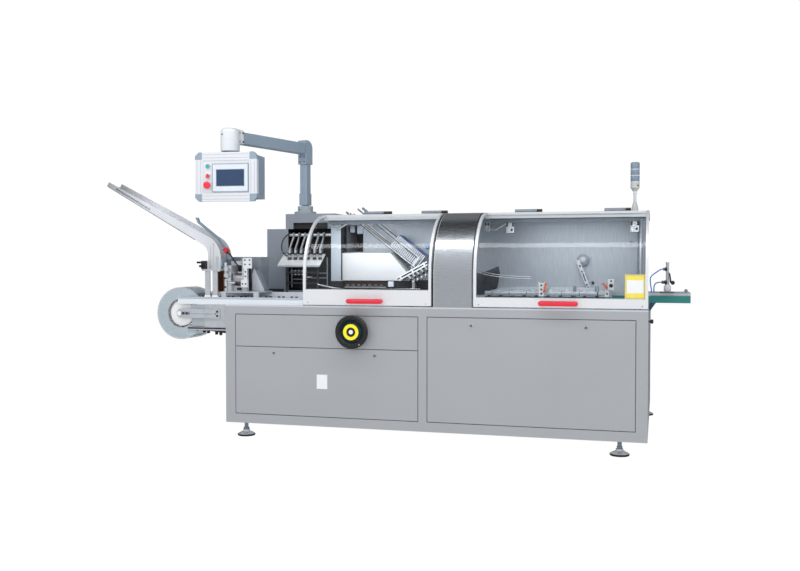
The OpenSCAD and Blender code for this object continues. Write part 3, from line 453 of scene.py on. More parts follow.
def soften(soft):
    """Breaks every edge of the mesh in hand by a small bevel."""
    bpy.ops.mesh.select_all(action="SELECT")
    bpy.ops.mesh.bevel(offset=soft / 1000, segments=2, affect="EDGES", clamp_overlap=True)


def block(low, high, soft=1.5):
    """A box between two corners of the drawing, its edges broken."""
    calm()
    near, far = at(*low), at(*high)
    bpy.ops.mesh.primitive_cube_add(size=1, location=(near + far) / 2)
    piece = bpy.context.object
    piece.scale = far - near
    bpy.ops.object.transform_apply()
    bpy.ops.object.mode_set(mode="EDIT")
    soften(soft)
    bpy.ops.object.mode_set(mode="OBJECT")
    return piece


def turned(foot, way, profile, sides=32):
    """A round piece: a disc drawn out along a way through (distance, radius) stations, in mm."""
    calm()
    bpy.ops.mesh.primitive_circle_add(vertices=sides, radius=profile[0][1] / 1000, fill_type="NGON")
    piece = bpy.context.object
    bpy.ops.object.mode_set(mode="EDIT")
    bpy.ops.mesh.select_all(action="SELECT")
    for (before, wide), (after, narrow) in zip(profile, profile[1:]):
        bpy.ops.mesh.extrude_region_move(TRANSFORM_OT_translate={"value": (0, 0, (after - before) / 1000)})
        bpy.ops.transform.resize(value=(narrow / wide, narrow / wide, 1))
    bpy.ops.mesh.select_all(action="SELECT")
    bpy.ops.mesh.normals_make_consistent(inside=False)
    bpy.ops.object.mode_set(mode="OBJECT")
    piece.rotation_mode = "QUATERNION"
    piece.rotation_quaternion = Vector(way).to_track_quat("Z", "Y")
    piece.location = at(*foot) + Vector(way).normalized() * profile[0][0] / 1000
    bpy.ops.object.transform_apply()
    bpy.ops.object.shade_smooth_by_angle(angle=math.radians(40))
    return piece


def row_ahead(places, profile, sides=16):
    """The same round piece at each place, facing the front."""
    return [turned(place, AHEAD, profile, sides) for place in places]


def frame_bars(x0, x1, z0, z1, wide):
    """Four bars along the inside of a rectangle, each as its own rectangle."""
    return (x0, x1, z0, z0 + wide), (x0, x1, z1 - wide, z1), (x0, x0 + wide, z0, z1), (x1 - wide, x1, z0, z1)


print("boxes and round pieces can be made")


# %% Plates and rods
def plate(outline, start, end, across="y", soft=0.0):
    """A flat plate: an outline is filled and drawn out across one way of the drawing."""
    order = {"x": lambda a, b, s: (s, a, b), "y": lambda a, b, s: (a, s, b)}[across]
    calm()
    bpy.ops.mesh.primitive_circle_add(vertices=len(outline), fill_type="NGON")
    piece = bpy.context.object
    for corner, (a, b) in zip(piece.data.vertices, outline):
        corner.co = at(*order(a, b, start))
    bpy.ops.object.mode_set(mode="EDIT")
    bpy.ops.mesh.select_all(action="SELECT")
    bpy.ops.mesh.extrude_region_move(TRANSFORM_OT_translate={"value": Vector(order(0, 0, end - start)) / 1000})
    bpy.ops.mesh.select_all(action="SELECT")
    bpy.ops.mesh.normals_make_consistent(inside=False)
    if soft:
        soften(soft)
    bpy.ops.object.mode_set(mode="OBJECT")
    bpy.ops.object.shade_smooth_by_angle(angle=math.radians(30))
    return piece


def bent_rod(points, radius, rounded=True):
    """A rod or hose along points of the drawing: a curve with a round section, made a mesh."""
    calm()
    bpy.ops.curve.primitive_bezier_curve_add()
    piece = bpy.context.object
    line = piece.data.splines[0]
    line.bezier_points.add(len(points) - 2)
    for knot, point in zip(line.bezier_points, points):
        knot.handle_left_type = knot.handle_right_type = "AUTO" if rounded else "VECTOR"
        knot.co = at(*point)
    piece.data.bevel_depth = radius / 1000
    piece.data.bevel_resolution = 3
    piece.data.resolution_u = 8
    piece.data.use_fill_caps = True
    bpy.ops.object.convert(target="MESH")
    bpy.ops.object.shade_smooth_by_angle(angle=math.radians(40))
    return bpy.context.object


print("plates and rods can be made")


def swung(piece, centre, degrees, axis="Z"):
    """Turns a piece about a line through a point of the drawing."""
    calm(piece)
    hub = Matrix.Translation(at(*centre))
    piece.matrix_world = hub @ Matrix.Rotation(math.radians(degrees), 4, axis) @ hub.inverted()
    bpy.ops.object.transform_apply()
    return piece


def repeated(piece, steps):
    """The piece and a copy of it, with its own mesh, moved by each step in mm."""
    row = [piece]
    for step in steps:
        calm(piece)
        bpy.ops.object.duplicate(linked=False)
        bpy.ops.transform.translate(value=Vector(step) / 1000)
        bpy.ops.object.transform_apply()
        row.append(bpy.context.object)
    return row


def fitted(name, pieces, material, body="machine", replaces=(), turn=None):
    """Joins pieces of one finish into a named object, turns it into place and lets it ride on a body."""
    calm(*pieces)
    if len(pieces) > 1:
        bpy.ops.object.join()
    whole = bpy.context.object
    if turn:
        swung(whole, *turn)
    whole.name = whole.data.name = name
    dress(whole, material)
    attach(whole, body)
    if replaces:
        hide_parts(*replaces)


def screw(place, way, radius=5.0, height=4.0):
    """A cap screw: a domed head with a sunk socket."""
    return turned(place, way, [
        (0, radius), (height * 0.8, radius), (height, radius * 0.85), (height, radius * 0.5),
        (height * 0.4, radius * 0.45)], 16)


print("pieces can be turned, copied and fitted")

# %% [markdown]
# ## Lead and air tubes
# One black lead hangs from the clip on the chute down to the feeder, and two blue air tubes run from the
# stop column down to the rail. Each is a round section along a smooth line. The line goes through the
# same points as the solid that it stands for, straight where it leaves its fitting.


# %% Lead and air tubes
def smooth_line(knots, steps):
    """Points on a curve through knots, each stretch bent by the knots on either side of it."""
    points = []
    for i in range(len(knots) - 1):
        a, b, c = knots[max(i - 1, 0)], knots[i], knots[i + 1]
        d = knots[min(i + 2, len(knots) - 1)]
        for k in range(steps):
            t = k / steps
            square, cube = 2 * a - 5 * b + 4 * c - d, 3 * b - a - 3 * c + d
            points.append(0.5 * (2 * b + t * (c - a) + t * t * square + t ** 3 * cube))
    return points + [knots[-1]]


def hang(name, start, knots, end, steps, radius, material, node):
    """A cord from one fitting to another."""
    line = [Vector(start)] + smooth_line([Vector(k) for k in knots], steps) + [Vector(end)]
    data = bpy.data.curves.new(name, "CURVE")
    data.dimensions = "3D"
    data.bevel_depth, data.bevel_resolution, data.use_fill_caps = radius / 1000, 4, True
    spline = data.splines.new("POLY")
    spline.points.add(len(line) - 1)
    for knot, place in zip(spline.points, line):
        knot.co = (*at(*place), 1)
    cord = bpy.data.objects.new(name, data)
    bpy.context.scene.collection.objects.link(cord)
    data.materials.append(material)
    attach(cord, "machine")
    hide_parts(node)


LANE = 110
LEAD_TOP = (-44, LANE - 6, TABLE + 286)
GLAND = (52, 115, TABLE + 168)
hang("clip_lead", LEAD_TOP, [
    (-38, LANE - 6, TABLE + 286), (-16, LANE - 18, TABLE + 276), (14, LANE - 24, TABLE + 238),
    (38, LANE - 12, TABLE + 204), (50, LANE + 2, TABLE + 190), (52, 115, TABLE + 174)],
    GLAND, 6, 4, black_rubber, "sensor_lead")
STOP = (2340, 267)
RAIL_TOP = TABLE + 79
UPPER, LOWER = (STOP[0] - 22, STOP[1], TABLE + 198), (STOP[0] - 30, STOP[1], RAIL_TOP + 52)
hang("upper_air_tube", UPPER, [
    (2310, 267, TABLE + 198), (2288, 264, TABLE + 184), (2260, 262, TABLE + 160), (2256, 262, TABLE + 134),
    (2262, 267, RAIL_TOP + 10)], (2262, 267, RAIL_TOP), 6, 3, blue_tube, "air_tubes")
hang("lower_air_tube", LOWER, [
    (2304, 267, RAIL_TOP + 52), (2287, 267, RAIL_TOP + 48.62), (2277.38, 267, RAIL_TOP + 39),
    (2274, 267, RAIL_TOP + 26), (2274, 267, RAIL_TOP + 10)],
    (2274, 267, RAIL_TOP), 5, 3, blue_tube, "air_tubes")

# %% [markdown]
# ## Operator panel
# The panel is a box of extruded aluminium strips with moulded corner caps. What brings it to life is
# small: darker lines of painted shade in the long grooves of the strips, the dark glass in its pale
# bezel, and the push buttons with their bright rings. They are modelled square to the drawing at the
# swivel and then turned with the panel.

# %% Panel grooves, glass and bezel
POST, REACH, ARM_WAY = (236, 600), 663, 253.7
HEAD = (POST[0] + REACH * math.cos(math.radians(ARM_WAY)), POST[1] + REACH * math.sin(math.radians(ARM_WAY)))
PANEL_TURN, PANEL_Z, PANEL_H, PANEL_W = 5.4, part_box("panel_corners")[0].z * 1000, 264, 348
FACE, FRONT = -67, -70


def on_panel(x, y, z):
    """A point of the drawing from the panel's own measures: across, behind the swivel and up."""
    return HEAD[0] + x, HEAD[1] + y, PANEL_Z + z


def panel_block(low, high, soft=0.6):
    """A box in the panel's own measures."""
    return block(on_panel(*low), on_panel(*high), soft)


def on_swivel(name, pieces, material, replaces=()):
    """Fits pieces of the panel and turns them with it."""
    fitted(name, pieces, material, "panel", replaces, ((*HEAD, 0), PANEL_TURN))


half = PANEL_W / 2
# painted shade: thin raised strips of darker grey stand for the shade inside the grooves
grooves = []
for z in (12, 30, PANEL_H - 30, PANEL_H - 12):
    grooves.append(panel_block((-half + 42, FRONT - 0.8, z - 1), (half - 42, FRONT + 0.5, z + 1), 0.3))
for x in (12 - half, 32 - half, half - 32, half - 12):
    grooves.append(panel_block((x - 1, FRONT - 0.8, 42), (x + 1, FRONT + 0.5, PANEL_H - 42), 0.3))
on_swivel("panel_groove_shades", grooves, soft_grey)
rim = [
    panel_block((x0, FACE - 6.8, z0), (x1, FACE - 2, z1), 0.8)
    for x0, x1, z0, z1 in frame_bars(-76, 128, 50, 202, 4)]
on_swivel("screen_rim", rim, dark_slate)
on_swivel("screen_glass", [panel_block((-52, FACE - 4.8, 82), (104, FACE - 3.9, 170), 0.3)], screen_navy)
inner = [
    panel_block((x0, FACE - 6.4, z0), (x1, FACE - 3.9, z1), 0.5)
    for x0, x1, z0, z1 in frame_bars(-55, 107, 79, 173, 3)]
on_swivel("screen_inner_rim", inner, soft_grey)
print("panel face at", round(PANEL_Z), "mm")

# %% Push buttons
BUTTON_X, START_Z, RESET_Z, STOP_Z = -101, 189, 136, 87


def button_ring(z, radius):
    """The bright ring that a button sits in."""
    return turned(on_panel(BUTTON_X, FACE, z), AHEAD, [
        (0, radius), (4, radius), (6, radius - 1.5), (6, radius - 4), (1, radius - 4.5)])


rings = [button_ring(START_Z, 15), button_ring(RESET_Z, 15), button_ring(STOP_Z, 16)]
on_swivel("button_rings", rings, bright_steel, ["panel_buttons"])


def push_cap(z):
    """A low round cap with a rolled edge."""
    return turned(on_panel(BUTTON_X, FACE, z), AHEAD, [(1, 10), (8, 10), (10, 8.5), (10, 6), (9.4, 5)])


on_swivel("start_cap", [push_cap(START_Z)], green_plastic, ["panel_buttons"])
on_swivel("reset_cap", [push_cap(RESET_Z)], red_plastic, ["panel_buttons"])
mushroom = turned(on_panel(BUTTON_X, FACE, STOP_Z), AHEAD, [
    (1, 11), (12, 11), (13, 17), (15, 19.5), (19, 20), (22, 18), (24, 14), (24.8, 8)], 40)
on_swivel("stop_cap", [mushroom], red_plastic, ["panel_buttons"])
print("buttons fitted")

# %% [markdown]
# ## Arm
# The beam is a painted tube, and the swivel at its end is covered by a white casting with a clamp block.
# They stand for the plain solid, each with its own finish. Elbow and flange carry four screws each, the
# collar two.

# %% Beam, clamp block and swivel cover
BEAM_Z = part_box("arm_beam")[1].z * 1000 - 44
BEAM_END = POST[0] + REACH


def on_arm(name, pieces, material, replaces=()):
    """Fits pieces that are drawn straight to the right of the post, and swings them with the arm."""
    fitted(name, pieces, material, "arm", replaces, ((*POST, 0), ARM_WAY))


beam = block((POST[0] + 31, POST[1] - 25, BEAM_Z - 33), (BEAM_END - 75, POST[1] + 25, BEAM_Z + 33), 5)
on_arm("beam_tube", [beam], slate_paint, ["arm_beam"])
clamp = block((BEAM_END - 81, POST[1] - 30, BEAM_Z - 36), (BEAM_END - 30, POST[1] + 30, BEAM_Z + 42), 6)
cover = turned((BEAM_END, POST[1], BEAM_Z - 80), UP, [
    (0, 48), (2, 51), (60, 51), (60.5, 50), (62, 50), (62.5, 51), (104, 51), (111, 50), (118, 46), (122, 41),
    (124, 36)], 56)
lid = turned((BEAM_END - 56, POST[1], BEAM_Z + 40), UP, [(0, 24), (3, 24), (4, 22)])
on_arm("swivel_cover", [cover, clamp, lid], pale_casting, ["arm_beam"])
bolts = [screw((BEAM_END - 56 + dx, POST[1] + side * 30, BEAM_Z + dz), (0, side, 0), 5, 3)
         for dx in (-14, 14) for dz in (-22, 26) for side in (-1, 1)]
plug = turned((BEAM_END + 49.2, POST[1] - 12, BEAM_Z + 9), (0.975, -0.236, 0), [(0, 5), (2, 5), (3, 4)], 16)
on_arm("swivel_bolts", bolts + [plug], dark_steel)
elbow_screws = [
    turned((POST[0] + 31, POST[1] + dy, z), (1, 0, 0), [(0, 4.5), (1, 4.5), (1, 2.5), (0.4, 2)], 16)
    for dy in (-15, 15) for z in (BEAM_Z - 78, BEAM_Z - 48)]
on_arm("elbow_screws", elbow_screws, dark_steel)


def round_post(radius, degrees):
    """The two level measures of a point at a radius from the post."""
    a = math.radians(degrees)
    return POST[0] + radius * math.cos(a), POST[1] + radius * math.sin(a)


collar_screws = [
    turned((*round_post(46, a), 1284), (math.cos(math.radians(a)), math.sin(math.radians(a)), 0), [
        (0, 4), (1, 4), (1, 2.5), (0.3, 2)], 16)
    for a in (-115, 65)]
fitted("collar_screws", collar_screws, dark_steel)
fitted("flange_screws", [screw((*round_post(56, a), 1271), UP, 4.5, 4) for a in (45, 135, 225, 315)], bright_steel)
print("beam axis at", round(BEAM_Z), "mm")

# %% [markdown]
# ## Guard doors
# Each door is lifted by a red grip. A real grip is moulded: the bar has round ends and the two feet flow
# into it, so it is drawn out station by station with the ends closing in. A black rubber seal runs up the
# hood's left edge and over the bend, where the left door closes against it.

# %% Grips
RAIL_Z = TABLE + 6
BEND_R = 340
BEND = (BEND_R, TABLE + 162)


def grip(mid):
    """A moulded grip: a round-ended bar on two feet."""
    bar = turned((mid - 98, -36, RAIL_Z + 22), (1, 0, 0), [
        (0, 3), (1, 6.5), (4, 10), (9, 12.3), (16, 13), (180, 13), (187, 12.3), (192, 10), (195, 6.5), (196, 3)], 28)
    feet = [
        turned((mid + side * 82, -30, RAIL_Z + 22), (0, 1, 0), [(0, 9), (20, 9), (27, 11), (30, 12)], 24)
        for side in (-1, 1)]
    return [bar] + feet


fitted("left_grip", grip(810), grip_red, "left_guard", ["left_guard_handle"])
fitted("right_grip", grip(1817.5), grip_red, "right_guard", ["right_guard_handle"])
print("grips fitted")


# %% Seal, edge strips and sign plate
def bow(skin, inner, foot):
    """The guard's side view between two depths below its skin, from a height up over the bend."""
    turn = [math.radians(180 - 90 * k / 24) for k in range(25)]
    outer, under = [
        [(BEND[0] + (BEND_R - depth) * math.cos(a), BEND[1] + (BEND_R - depth) * math.sin(a)) for a in turn]
        for depth in (skin, inner)]
    return [(skin, foot)] + outer + under[::-1] + [(inner, foot)]


fitted("hood_seal", [plate(bow(-0.8, 8, TABLE + 2), 1169.2, 1176.5, "x")], black_rubber)
fitted("hood_edge_strip", [plate(bow(-0.6, 6, TABLE + 2), 1177, 1180, "x")], bright_steel)
fitted("hood_right_seal", [plate(bow(-0.5, 6, TABLE + 2), 1378, 1380.6, "x")], black_rubber)
sign = block((2138, 9.5, TABLE + 53), (2235, 12.2, TABLE + 173), 0.6)
fitted("sign_plate", [sign], sign_yellow, "right_guard")
border = [
    block((x0, 9.1, z0), (x1, 10, z1), 0.2) for x0, x1, z0, z1 in frame_bars(2142, 2231, TABLE + 57, TABLE + 169, 2)]
fitted("sign_border", border, dark_slate, "right_guard")
field = block((2147, 9.0, TABLE + 82), (2226, 10, TABLE + 146), 0.3)
fitted("sign_field", [field], white_plastic, "right_guard")
print("seals and sign plate fitted")

# %% Rail screws and rail lips
for side, x0, x1, high in (("left", 456, 1164, 80), ("right", 1386, 2249, 46)):
    lip = block((x0 + 14, 12.2, RAIL_Z + high - 3), (x1 - 14, 18.5, RAIL_Z + high + 3), 0.8)
    fitted(f"{side}_window_lip", [lip], bright_steel, f"{side}_guard")
    feet = [screw((x, 0.2, RAIL_Z + 12), AHEAD, 4, 2.5) for x in (x0 + 28, x1 - 28)]
    fitted(f"{side}_rail_screws", feet, bright_steel, f"{side}_guard")
    trim = block((x0 + 20, 333, RAIL_Z + 462.5), (x1 - 20, 388, RAIL_Z + 464.2), 0.5)
    fitted(f"{side}_top_gasket", [trim], black_rubber, f"{side}_guard")
print("rails finished")

# %% [markdown]
# ## Handwheel
# The wheel is a black casting with a thick rolled rim and a dished web. Three low spokes show in the
# dish, a white cap sits in the hub and a small brass plug in the rim.

# %% Handwheel details
WHEEL = (747, TABLE - 133)
hub = turned((WHEEL[0], -57.5, WHEEL[1]), AHEAD, [(0, 11.5), (2.6, 11.5), (4, 10), (4, 4), (3, 3)], 32)
fitted("wheel_cap", [hub], white_plastic, "handwheel")
spokes = []
for k in range(3):
    spoke = block((WHEEL[0] + 44, -52.5, WHEEL[1] - 8), (WHEEL[0] + 68, -44, WHEEL[1] + 8), 2.5)
    spokes.append(swung(spoke, (WHEEL[0], 0, WHEEL[1]), 54 + 120 * k, "Y"))
fitted("wheel_spokes", spokes, black_plastic, "handwheel")
# painted reflection: the teal tint of the web stands for what the dish mirrors
dish = turned((WHEEL[0], -40, WHEEL[1]), AHEAD, [(0, 60.5), (13.8, 60.5), (6.7, 56), (14.2, 46.5), (0, 46.4)], 64)
fitted("wheel_web", [dish], web_teal_sheen, "handwheel")
plug_way = math.radians(-55)
plug_at = (WHEEL[0] + 79 * math.cos(plug_way), -61.5, WHEEL[1] + 79 * math.sin(plug_way))
brass_plug = turned(plug_at, AHEAD, [(0, 5), (0.4, 5), (0.8, 3)], 16)
fitted("wheel_plug", [brass_plug], brass, "handwheel")
sleeve = turned((WHEEL[0], 0.1, WHEEL[1]), AHEAD, [(7.6, 47), (8.6, 46), (8.6, 33), (7.6, 32.6)], 48)
fitted("bearing_face", [sleeve], bright_steel)
print("handwheel at", WHEEL)

# %% [markdown]
# ## Signal lamp
# The lamp on the roof is a stack of three smoky tiers, parted by pale rings, on a light body, a tube and
# a cone-shaped foot. Every part is turned, so each is one profile.

# %% Signal lamp
LAMP, LAMP_Z = (2170, 550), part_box("signal_lamp")[0].z * 1000


def on_lamp(profile, sides=40):
    """A round part of the lamp, its stations measured up from the roof."""
    return turned((*LAMP, LAMP_Z), UP, profile, sides)


tiers = [
    on_lamp([(z, 20), (z, 23.4), (z + 1, 24), (z + 31, 24), (z + 32, 23.4), (z + 32, 20)]) for z in (178, 212, 246)]
crown = on_lamp([(278, 23.6), (281, 22), (283.4, 17), (284, 10)])
fitted("lamp_tiers", tiers + [crown], lamp_plastic, replaces=["signal_lamp"])
ring_row = [on_lamp([(z, 21), (z, 24), (z + 2.4, 24), (z + 2.4, 21)]) for z in (176, 210, 244)]
fitted("lamp_rings", ring_row, white_plastic, replaces=["signal_lamp"])
lamp_body = on_lamp([(127, 8.4), (128, 13), (131, 15), (140, 20), (143, 24), (176, 24), (176, 10)])
lamp_foot = on_lamp([
    (0, 30), (5, 30), (6, 28), (10, 21), (22, 19), (46, 15.5), (60, 11), (64, 9.5), (70, 9.5), (70, 8)])
fitted("lamp_body", [lamp_body, lamp_foot], lamp_cream, replaces=["signal_lamp"])
lamp_tube = on_lamp([(68, 8), (112, 8), (113, 9.6), (126, 9.6), (128, 8.4)], 24)
fitted("lamp_tube", [lamp_tube], lamp_pale, replaces=["signal_lamp"])
plug_at = (LAMP[0] + 15.5, LAMP[1] - 18.4, LAMP_Z + 157)
fitted("lamp_plug", [turned(plug_at, (0.64, -0.77, 0), [(0, 4.5), (0.6, 4.5), (0.8, 3)], 16)], black_plastic)
print("lamp foot at", round(LAMP_Z), "mm")

# %% [markdown]
# ## Carton magazine
# Flat cartons stand on edge in a sloping slide and a head with cups picks the lowest one off. The stack
# is what the eye finds first behind the left window, so it is made of single blanks with a gap between
# them. They are drawn level and then tilted together with the slide.

# %% Blanks and rail ends
SLIDE, SLIDE_TOP = 38, (536, 0, TABLE + 520)


def on_slide(name, pieces, material, replaces=()):
    """Fits pieces that are drawn level from the slide's top and tilts them with it."""
    fitted(name, pieces, material, "machine", replaces, (SLIDE_TOP, SLIDE, "Y"))


def slide_block(low, high, soft=0.8):
    """A box in the slide's own measures: down the slide, across and above it."""
    return block(*[(SLIDE_TOP[0] + s, y, SLIDE_TOP[2] + n) for s, y, n in (low, high)], soft)


BLANKS, BLANK_PITCH = 18, 11.4
steps = [(BLANK_PITCH * k, 0, 0) for k in range(1, BLANKS)]
first = slide_block((330, 490, 10), (337, 600, 92))
on_slide("carton_blanks", repeated(first, steps), blank_card, ["carton_stack"])
edge = slide_block((330.4, 491, 91), (336.6, 599, 94))
on_slide("carton_edges", repeated(edge, steps), card_blue, ["carton_stack"])


def slide_rod(s0, s1, y, n, radius):
    """A straight rod down the slide."""
    return bent_rod([(SLIDE_TOP[0] + s, y, SLIDE_TOP[2] + n) for s in (s0, s1)], radius)


LOW_RODS, HIGH_RODS = (481, 545, 609), (481, 609)
bright = [slide_rod(0, 545, y, 6, 3.2) for y in LOW_RODS] + [slide_rod(40, 505, y, 65, 3.2) for y in HIGH_RODS]
bright += [slide_block((s, y - 4, 4), (s + 14, y + 4, 66)) for s in (121, 500) for y in HIGH_RODS]
bright += [slide_block((s, 478, -8), (s + 14, 638, -2)) for s in (121, 500)]
bright += [slide_block((538, y - 4, -8), (545, y + 4, 12)) for y in LOW_RODS]
on_slide("slide_rods", bright, bright_steel, ["magazine_rails"])
# painted shadow: a thin dark rod just under each bright rod
shades = [slide_rod(4, 540, y, 0.6, 2.2) for y in LOW_RODS] + [slide_rod(44, 500, y, 59.6, 2.2) for y in HIGH_RODS]
on_slide("slide_rod_shadows", shades, dark_steel, ["magazine_rails"])
ends = [slide_block((24, 606, 57), (66, 614, 71), 2), slide_block((-4, 477, 1), (18, 485, 11), 2)]
on_slide("slide_ends", ends, hinge_grey, ["magazine_rails"])
print(BLANKS, "blanks in the slide")

# %% [markdown]
# ## Pick-off head
# Two bright bars carry a row of suction cups on short stems. One stem with its cup is modelled and copied
# along the bars.

# %% Pick-off head
PICK = (880, 0, TABLE + 130)
CUPS, CUP_PITCH = 5, 27


def on_picker(name, pieces, material):
    """Fits pieces that are drawn level from the head's lower end and tilts them up with it."""
    fitted(name, pieces, material, turn=(PICK, -28, "Y"))


def pick_block(low, high, soft=0.8):
    """A box in the head's own measures: along it, across and above it."""
    return block(*[(PICK[0] + s, y, PICK[2] + n) for s, y, n in (low, high)], soft)


bars = [pick_block((-8, 388, 12), (196, 398, 19)), pick_block((2, 388, -4), (190, 398, 4))]
bars += [pick_block((s, 389, -8), (s + 9, 399, 22)) for s in (14, 92, 168)]
on_picker("pick_bars", bars, white_plastic)
# painted shade: black strips fill the gap between the bars and the space under the lower bar
gap = [pick_block((-4, 396, 4), (190, 399, 12)), pick_block((20, 398, -10), (186, 399.5, -4))]
on_picker("pick_gap_shade", gap, black_rubber)
LEAN = (0.25, 0, -1)
steps = [(CUP_PITCH * k, 0, 0) for k in range(1, CUPS)]
stem = turned((PICK[0] + 62, 394, PICK[2] - 4), LEAN, [
    (0, 6), (22, 6), (23, 4), (36, 4), (37, 6.5), (44, 9), (48, 9.5), (49, 8)], 20)
on_picker("pick_stems", repeated(stem, steps), bright_steel)
cup = turned((PICK[0] + 66.5, 388, PICK[2] - 26), LEAN, [(0, 3), (0, 7.5), (6, 7.5), (8, 5), (10, 9)], 20)
on_picker("pick_cups", repeated(cup, steps), black_rubber)
print(CUPS, "cups on the head")

# %% [markdown]
# ## Left bay
# Below the white cover and in the well that the cartons come down, the machine lies in deep shade. Black
# and dark plates are put there as painted shade. A thin guide rod, a stay bracket and a blue knob catch
# the light.

# %% Left bay
# painted shade: black plates under the white cover, at its end and on the wall beside it
dark = [
    block((519, 470, TABLE + 0.5), (925, 600, TABLE + 125), 2),
    block((456, 428, TABLE + 0.5), (530, 439.5, TABLE + 124), 1),
    block((518.2, 441, TABLE + 130), (519.8, 497, TABLE + 440), 0.4),
    plate([
        (925, TABLE + 1), (925, 862), (1000, 862), (1075, 918), (1110, 1000), (1166, 1040), (1166, TABLE + 1)],
        618, 639, soft=1)]
fitted("bay_shadow_plates", dark, black_plastic)
# painted shade: dark plates line the well
well = [
    block((420, 634, 1030), (486, 639.5, 1190), 0.5), block((486.2, 836, 1030), (589.8, 839.5, 1190), 0.5),
    block((587.5, 641, 1030.5), (589.8, 838, 1189.5), 0.5), block((486.2, 641, 1030.2), (589.8, 838, 1032.5), 0.5)]
fitted("well_shade_plates", well, dark_steel)
boxes = [block((500, 660, 1146), (528, 690, 1188), 2), block((548, 650, 1138), (584, 690, 1188), 2)]
fitted("well_boxes", boxes, soft_grey)
foot = block((800, 452, TABLE + 92), (832, 469, TABLE + 122), 1.5)
low_bar = block((540, 440, TABLE + 84), (790, 448, TABLE + 92), 1)
strips = [block((546 + 34 * k, 448, TABLE + 96), (566 + 34 * k, 456, TABLE + 104), 0.6) for k in range(7)]
fitted("bay_foot", [foot], lamp_pale)
fitted("bay_bar", [low_bar], hinge_grey)
fitted("bay_strips", strips, copper_brown)
rod = bent_rod([(446, 250, 843), (510, 250, 830), (577, 250, 819), (700, 250, 817), (1041, 250, 821)], 4)
stay = bent_rod([(470, 425, 1186), (504, 425, 1154), (560, 425, 1190)], 4.5, rounded=False)
stay_plate = plate([(466, 1186), (500, 1186), (512, 1160), (500, 1150)], 430, 434, soft=0.8)
fitted("bay_rods", [rod, stay], bright_steel)
fitted("stay_plate", [stay_plate], light_slate)
WALL_Y = 640
knob = turned((989, WALL_Y, 1058), AHEAD, [(0, 7), (6, 7), (8, 11), (16, 12), (19, 10), (20, 6)], 24)
fitted("wall_knob", [knob], blue_tube)
print("left bay lined")

# %% [markdown]
# ## Leaflet feeder
# The tower has an open niche in which suction arms swing down to a white tray. Its inside is painted
# black as shade, which makes the bright shaft, the arms and their hoses stand out. Thin black plates paint
# that shade on without touching the shape of the housing.

# %% Niche, cups and hoses
NICHE = (165, 440, TABLE + 65, TABLE + 431)
# painted shade: black plates line the niche, its top notch and the space behind the tray
niche_shade = [
    block((NICHE[0] + 0.2, 796, NICHE[2] + 0.2), (NICHE[1] - 0.2, 799.8, NICHE[3] - 0.2), 0.4),
    block((NICHE[0] + 0.2, 501, NICHE[2] + 0.2), (NICHE[0] + 2, 796, NICHE[3] - 0.2), 0.4),
    block((NICHE[1] - 2, 501, NICHE[2] + 0.2), (NICHE[1] - 0.2, 796, NICHE[3] - 0.2), 0.4),
    block((NICHE[0] + 2, 501, NICHE[2] + 0.2), (NICHE[1] - 2, 796, NICHE[2] + 2), 0.4),
    block((198, 514, TABLE + 431), (414, 798, TABLE + 466), 1.5),
    block((NICHE[0] + 4, 560, TABLE + 70), (NICHE[1] - 4, 640, TABLE + 250), 2)]
fitted("niche_shade_plates", niche_shade, black_plastic)
ROW = (196, 232, 268, 312, 352, 388)
cups = [
    turned((x, 446, TABLE + 262), (0, 0, -1), [
        (-24, 8.5), (-12, 9.5), (-12, 6), (-4, 6), (0, 8), (6, 11), (12, 12), (13, 10)], 20)
    for x in ROW]
fitted("leaflet_cups", cups, dark_steel)
clamps = [block((x - 9, 452, TABLE + 290), (x + 9, 474, TABLE + 316), 2) for x in ROW]
clamps += [block((x - 7, 508, TABLE + 382), (x + 7, 512.6, TABLE + 408), 1.5) for x in ROW]
fitted("arm_clamps", clamps, hinge_grey)
hoses = [bent_rod([(172, 488, 1136), (150, 470, 1108), (139, 462, 1062), (150, 462, 1020), (176, 460, 1004)], 3.5)]
hoses += [
    bent_rod([
        (x + 6, 516, TABLE + 400), (x + 14, 480, TABLE + 392), (x + 16, 458, TABLE + 350),
        (x + 6, 450, TABLE + 300)], 3)
    for x in ROW[1::2]]
fitted("leaflet_hoses", hoses, black_rubber)
side_rod = bent_rod([(132, 462, 1030), (190, 462, 1028)], 4)
fitted("side_rod", [side_rod], hinge_grey)
print(len(cups), "cups over the tray")

# %% Under the tray
rods = [bent_rod([(x0, 470, TABLE + z), (x1, 470, TABLE + z)], 3.5) for x0, x1, z in (
    (206, 298, 182), (206, 298, 160), (318, 426, 168), (318, 426, 140), (206, 298, 132))]
rods += [
    bent_rod([(x, y, TABLE + low), (x, y, TABLE + high)], r)
    for x, y, low, high, r in ((426, 462, 92, 262, 4), (212, 440, 84, 196, 3))]
fitted("feeder_rods", rods, hinge_grey)
nips = row_ahead([(206 + 22 * k, 462, TABLE + z) for k in range(4) for z in (160, 182)], [(0, 5), (8, 5), (9, 3)])
fitted("feeder_rollers", nips, bright_steel)
stop_bar = block((300, 455, TABLE + 140), (330, 469, TABLE + 148), 1.5)
fitted("feeder_tab", [stop_bar], lamp_pale)
lip = plate([(401.2, TABLE + 205), (398.4, TABLE + 205), (398.4, TABLE + 213), (401.2, TABLE + 213)], 140, 400, "x")
fitted("tray_lip", [lip], soft_grey)
print("rods under the tray")

# %% [markdown]
# ## Right bay
# Behind the right window the cartons are closed. Bright switch plates hang under the hinge beam, a crank
# sits on the wall, and two white clamps with orange levers hold the guide rail. The plates carry dark
# screw heads, so that they read as metal parts and not as patches.

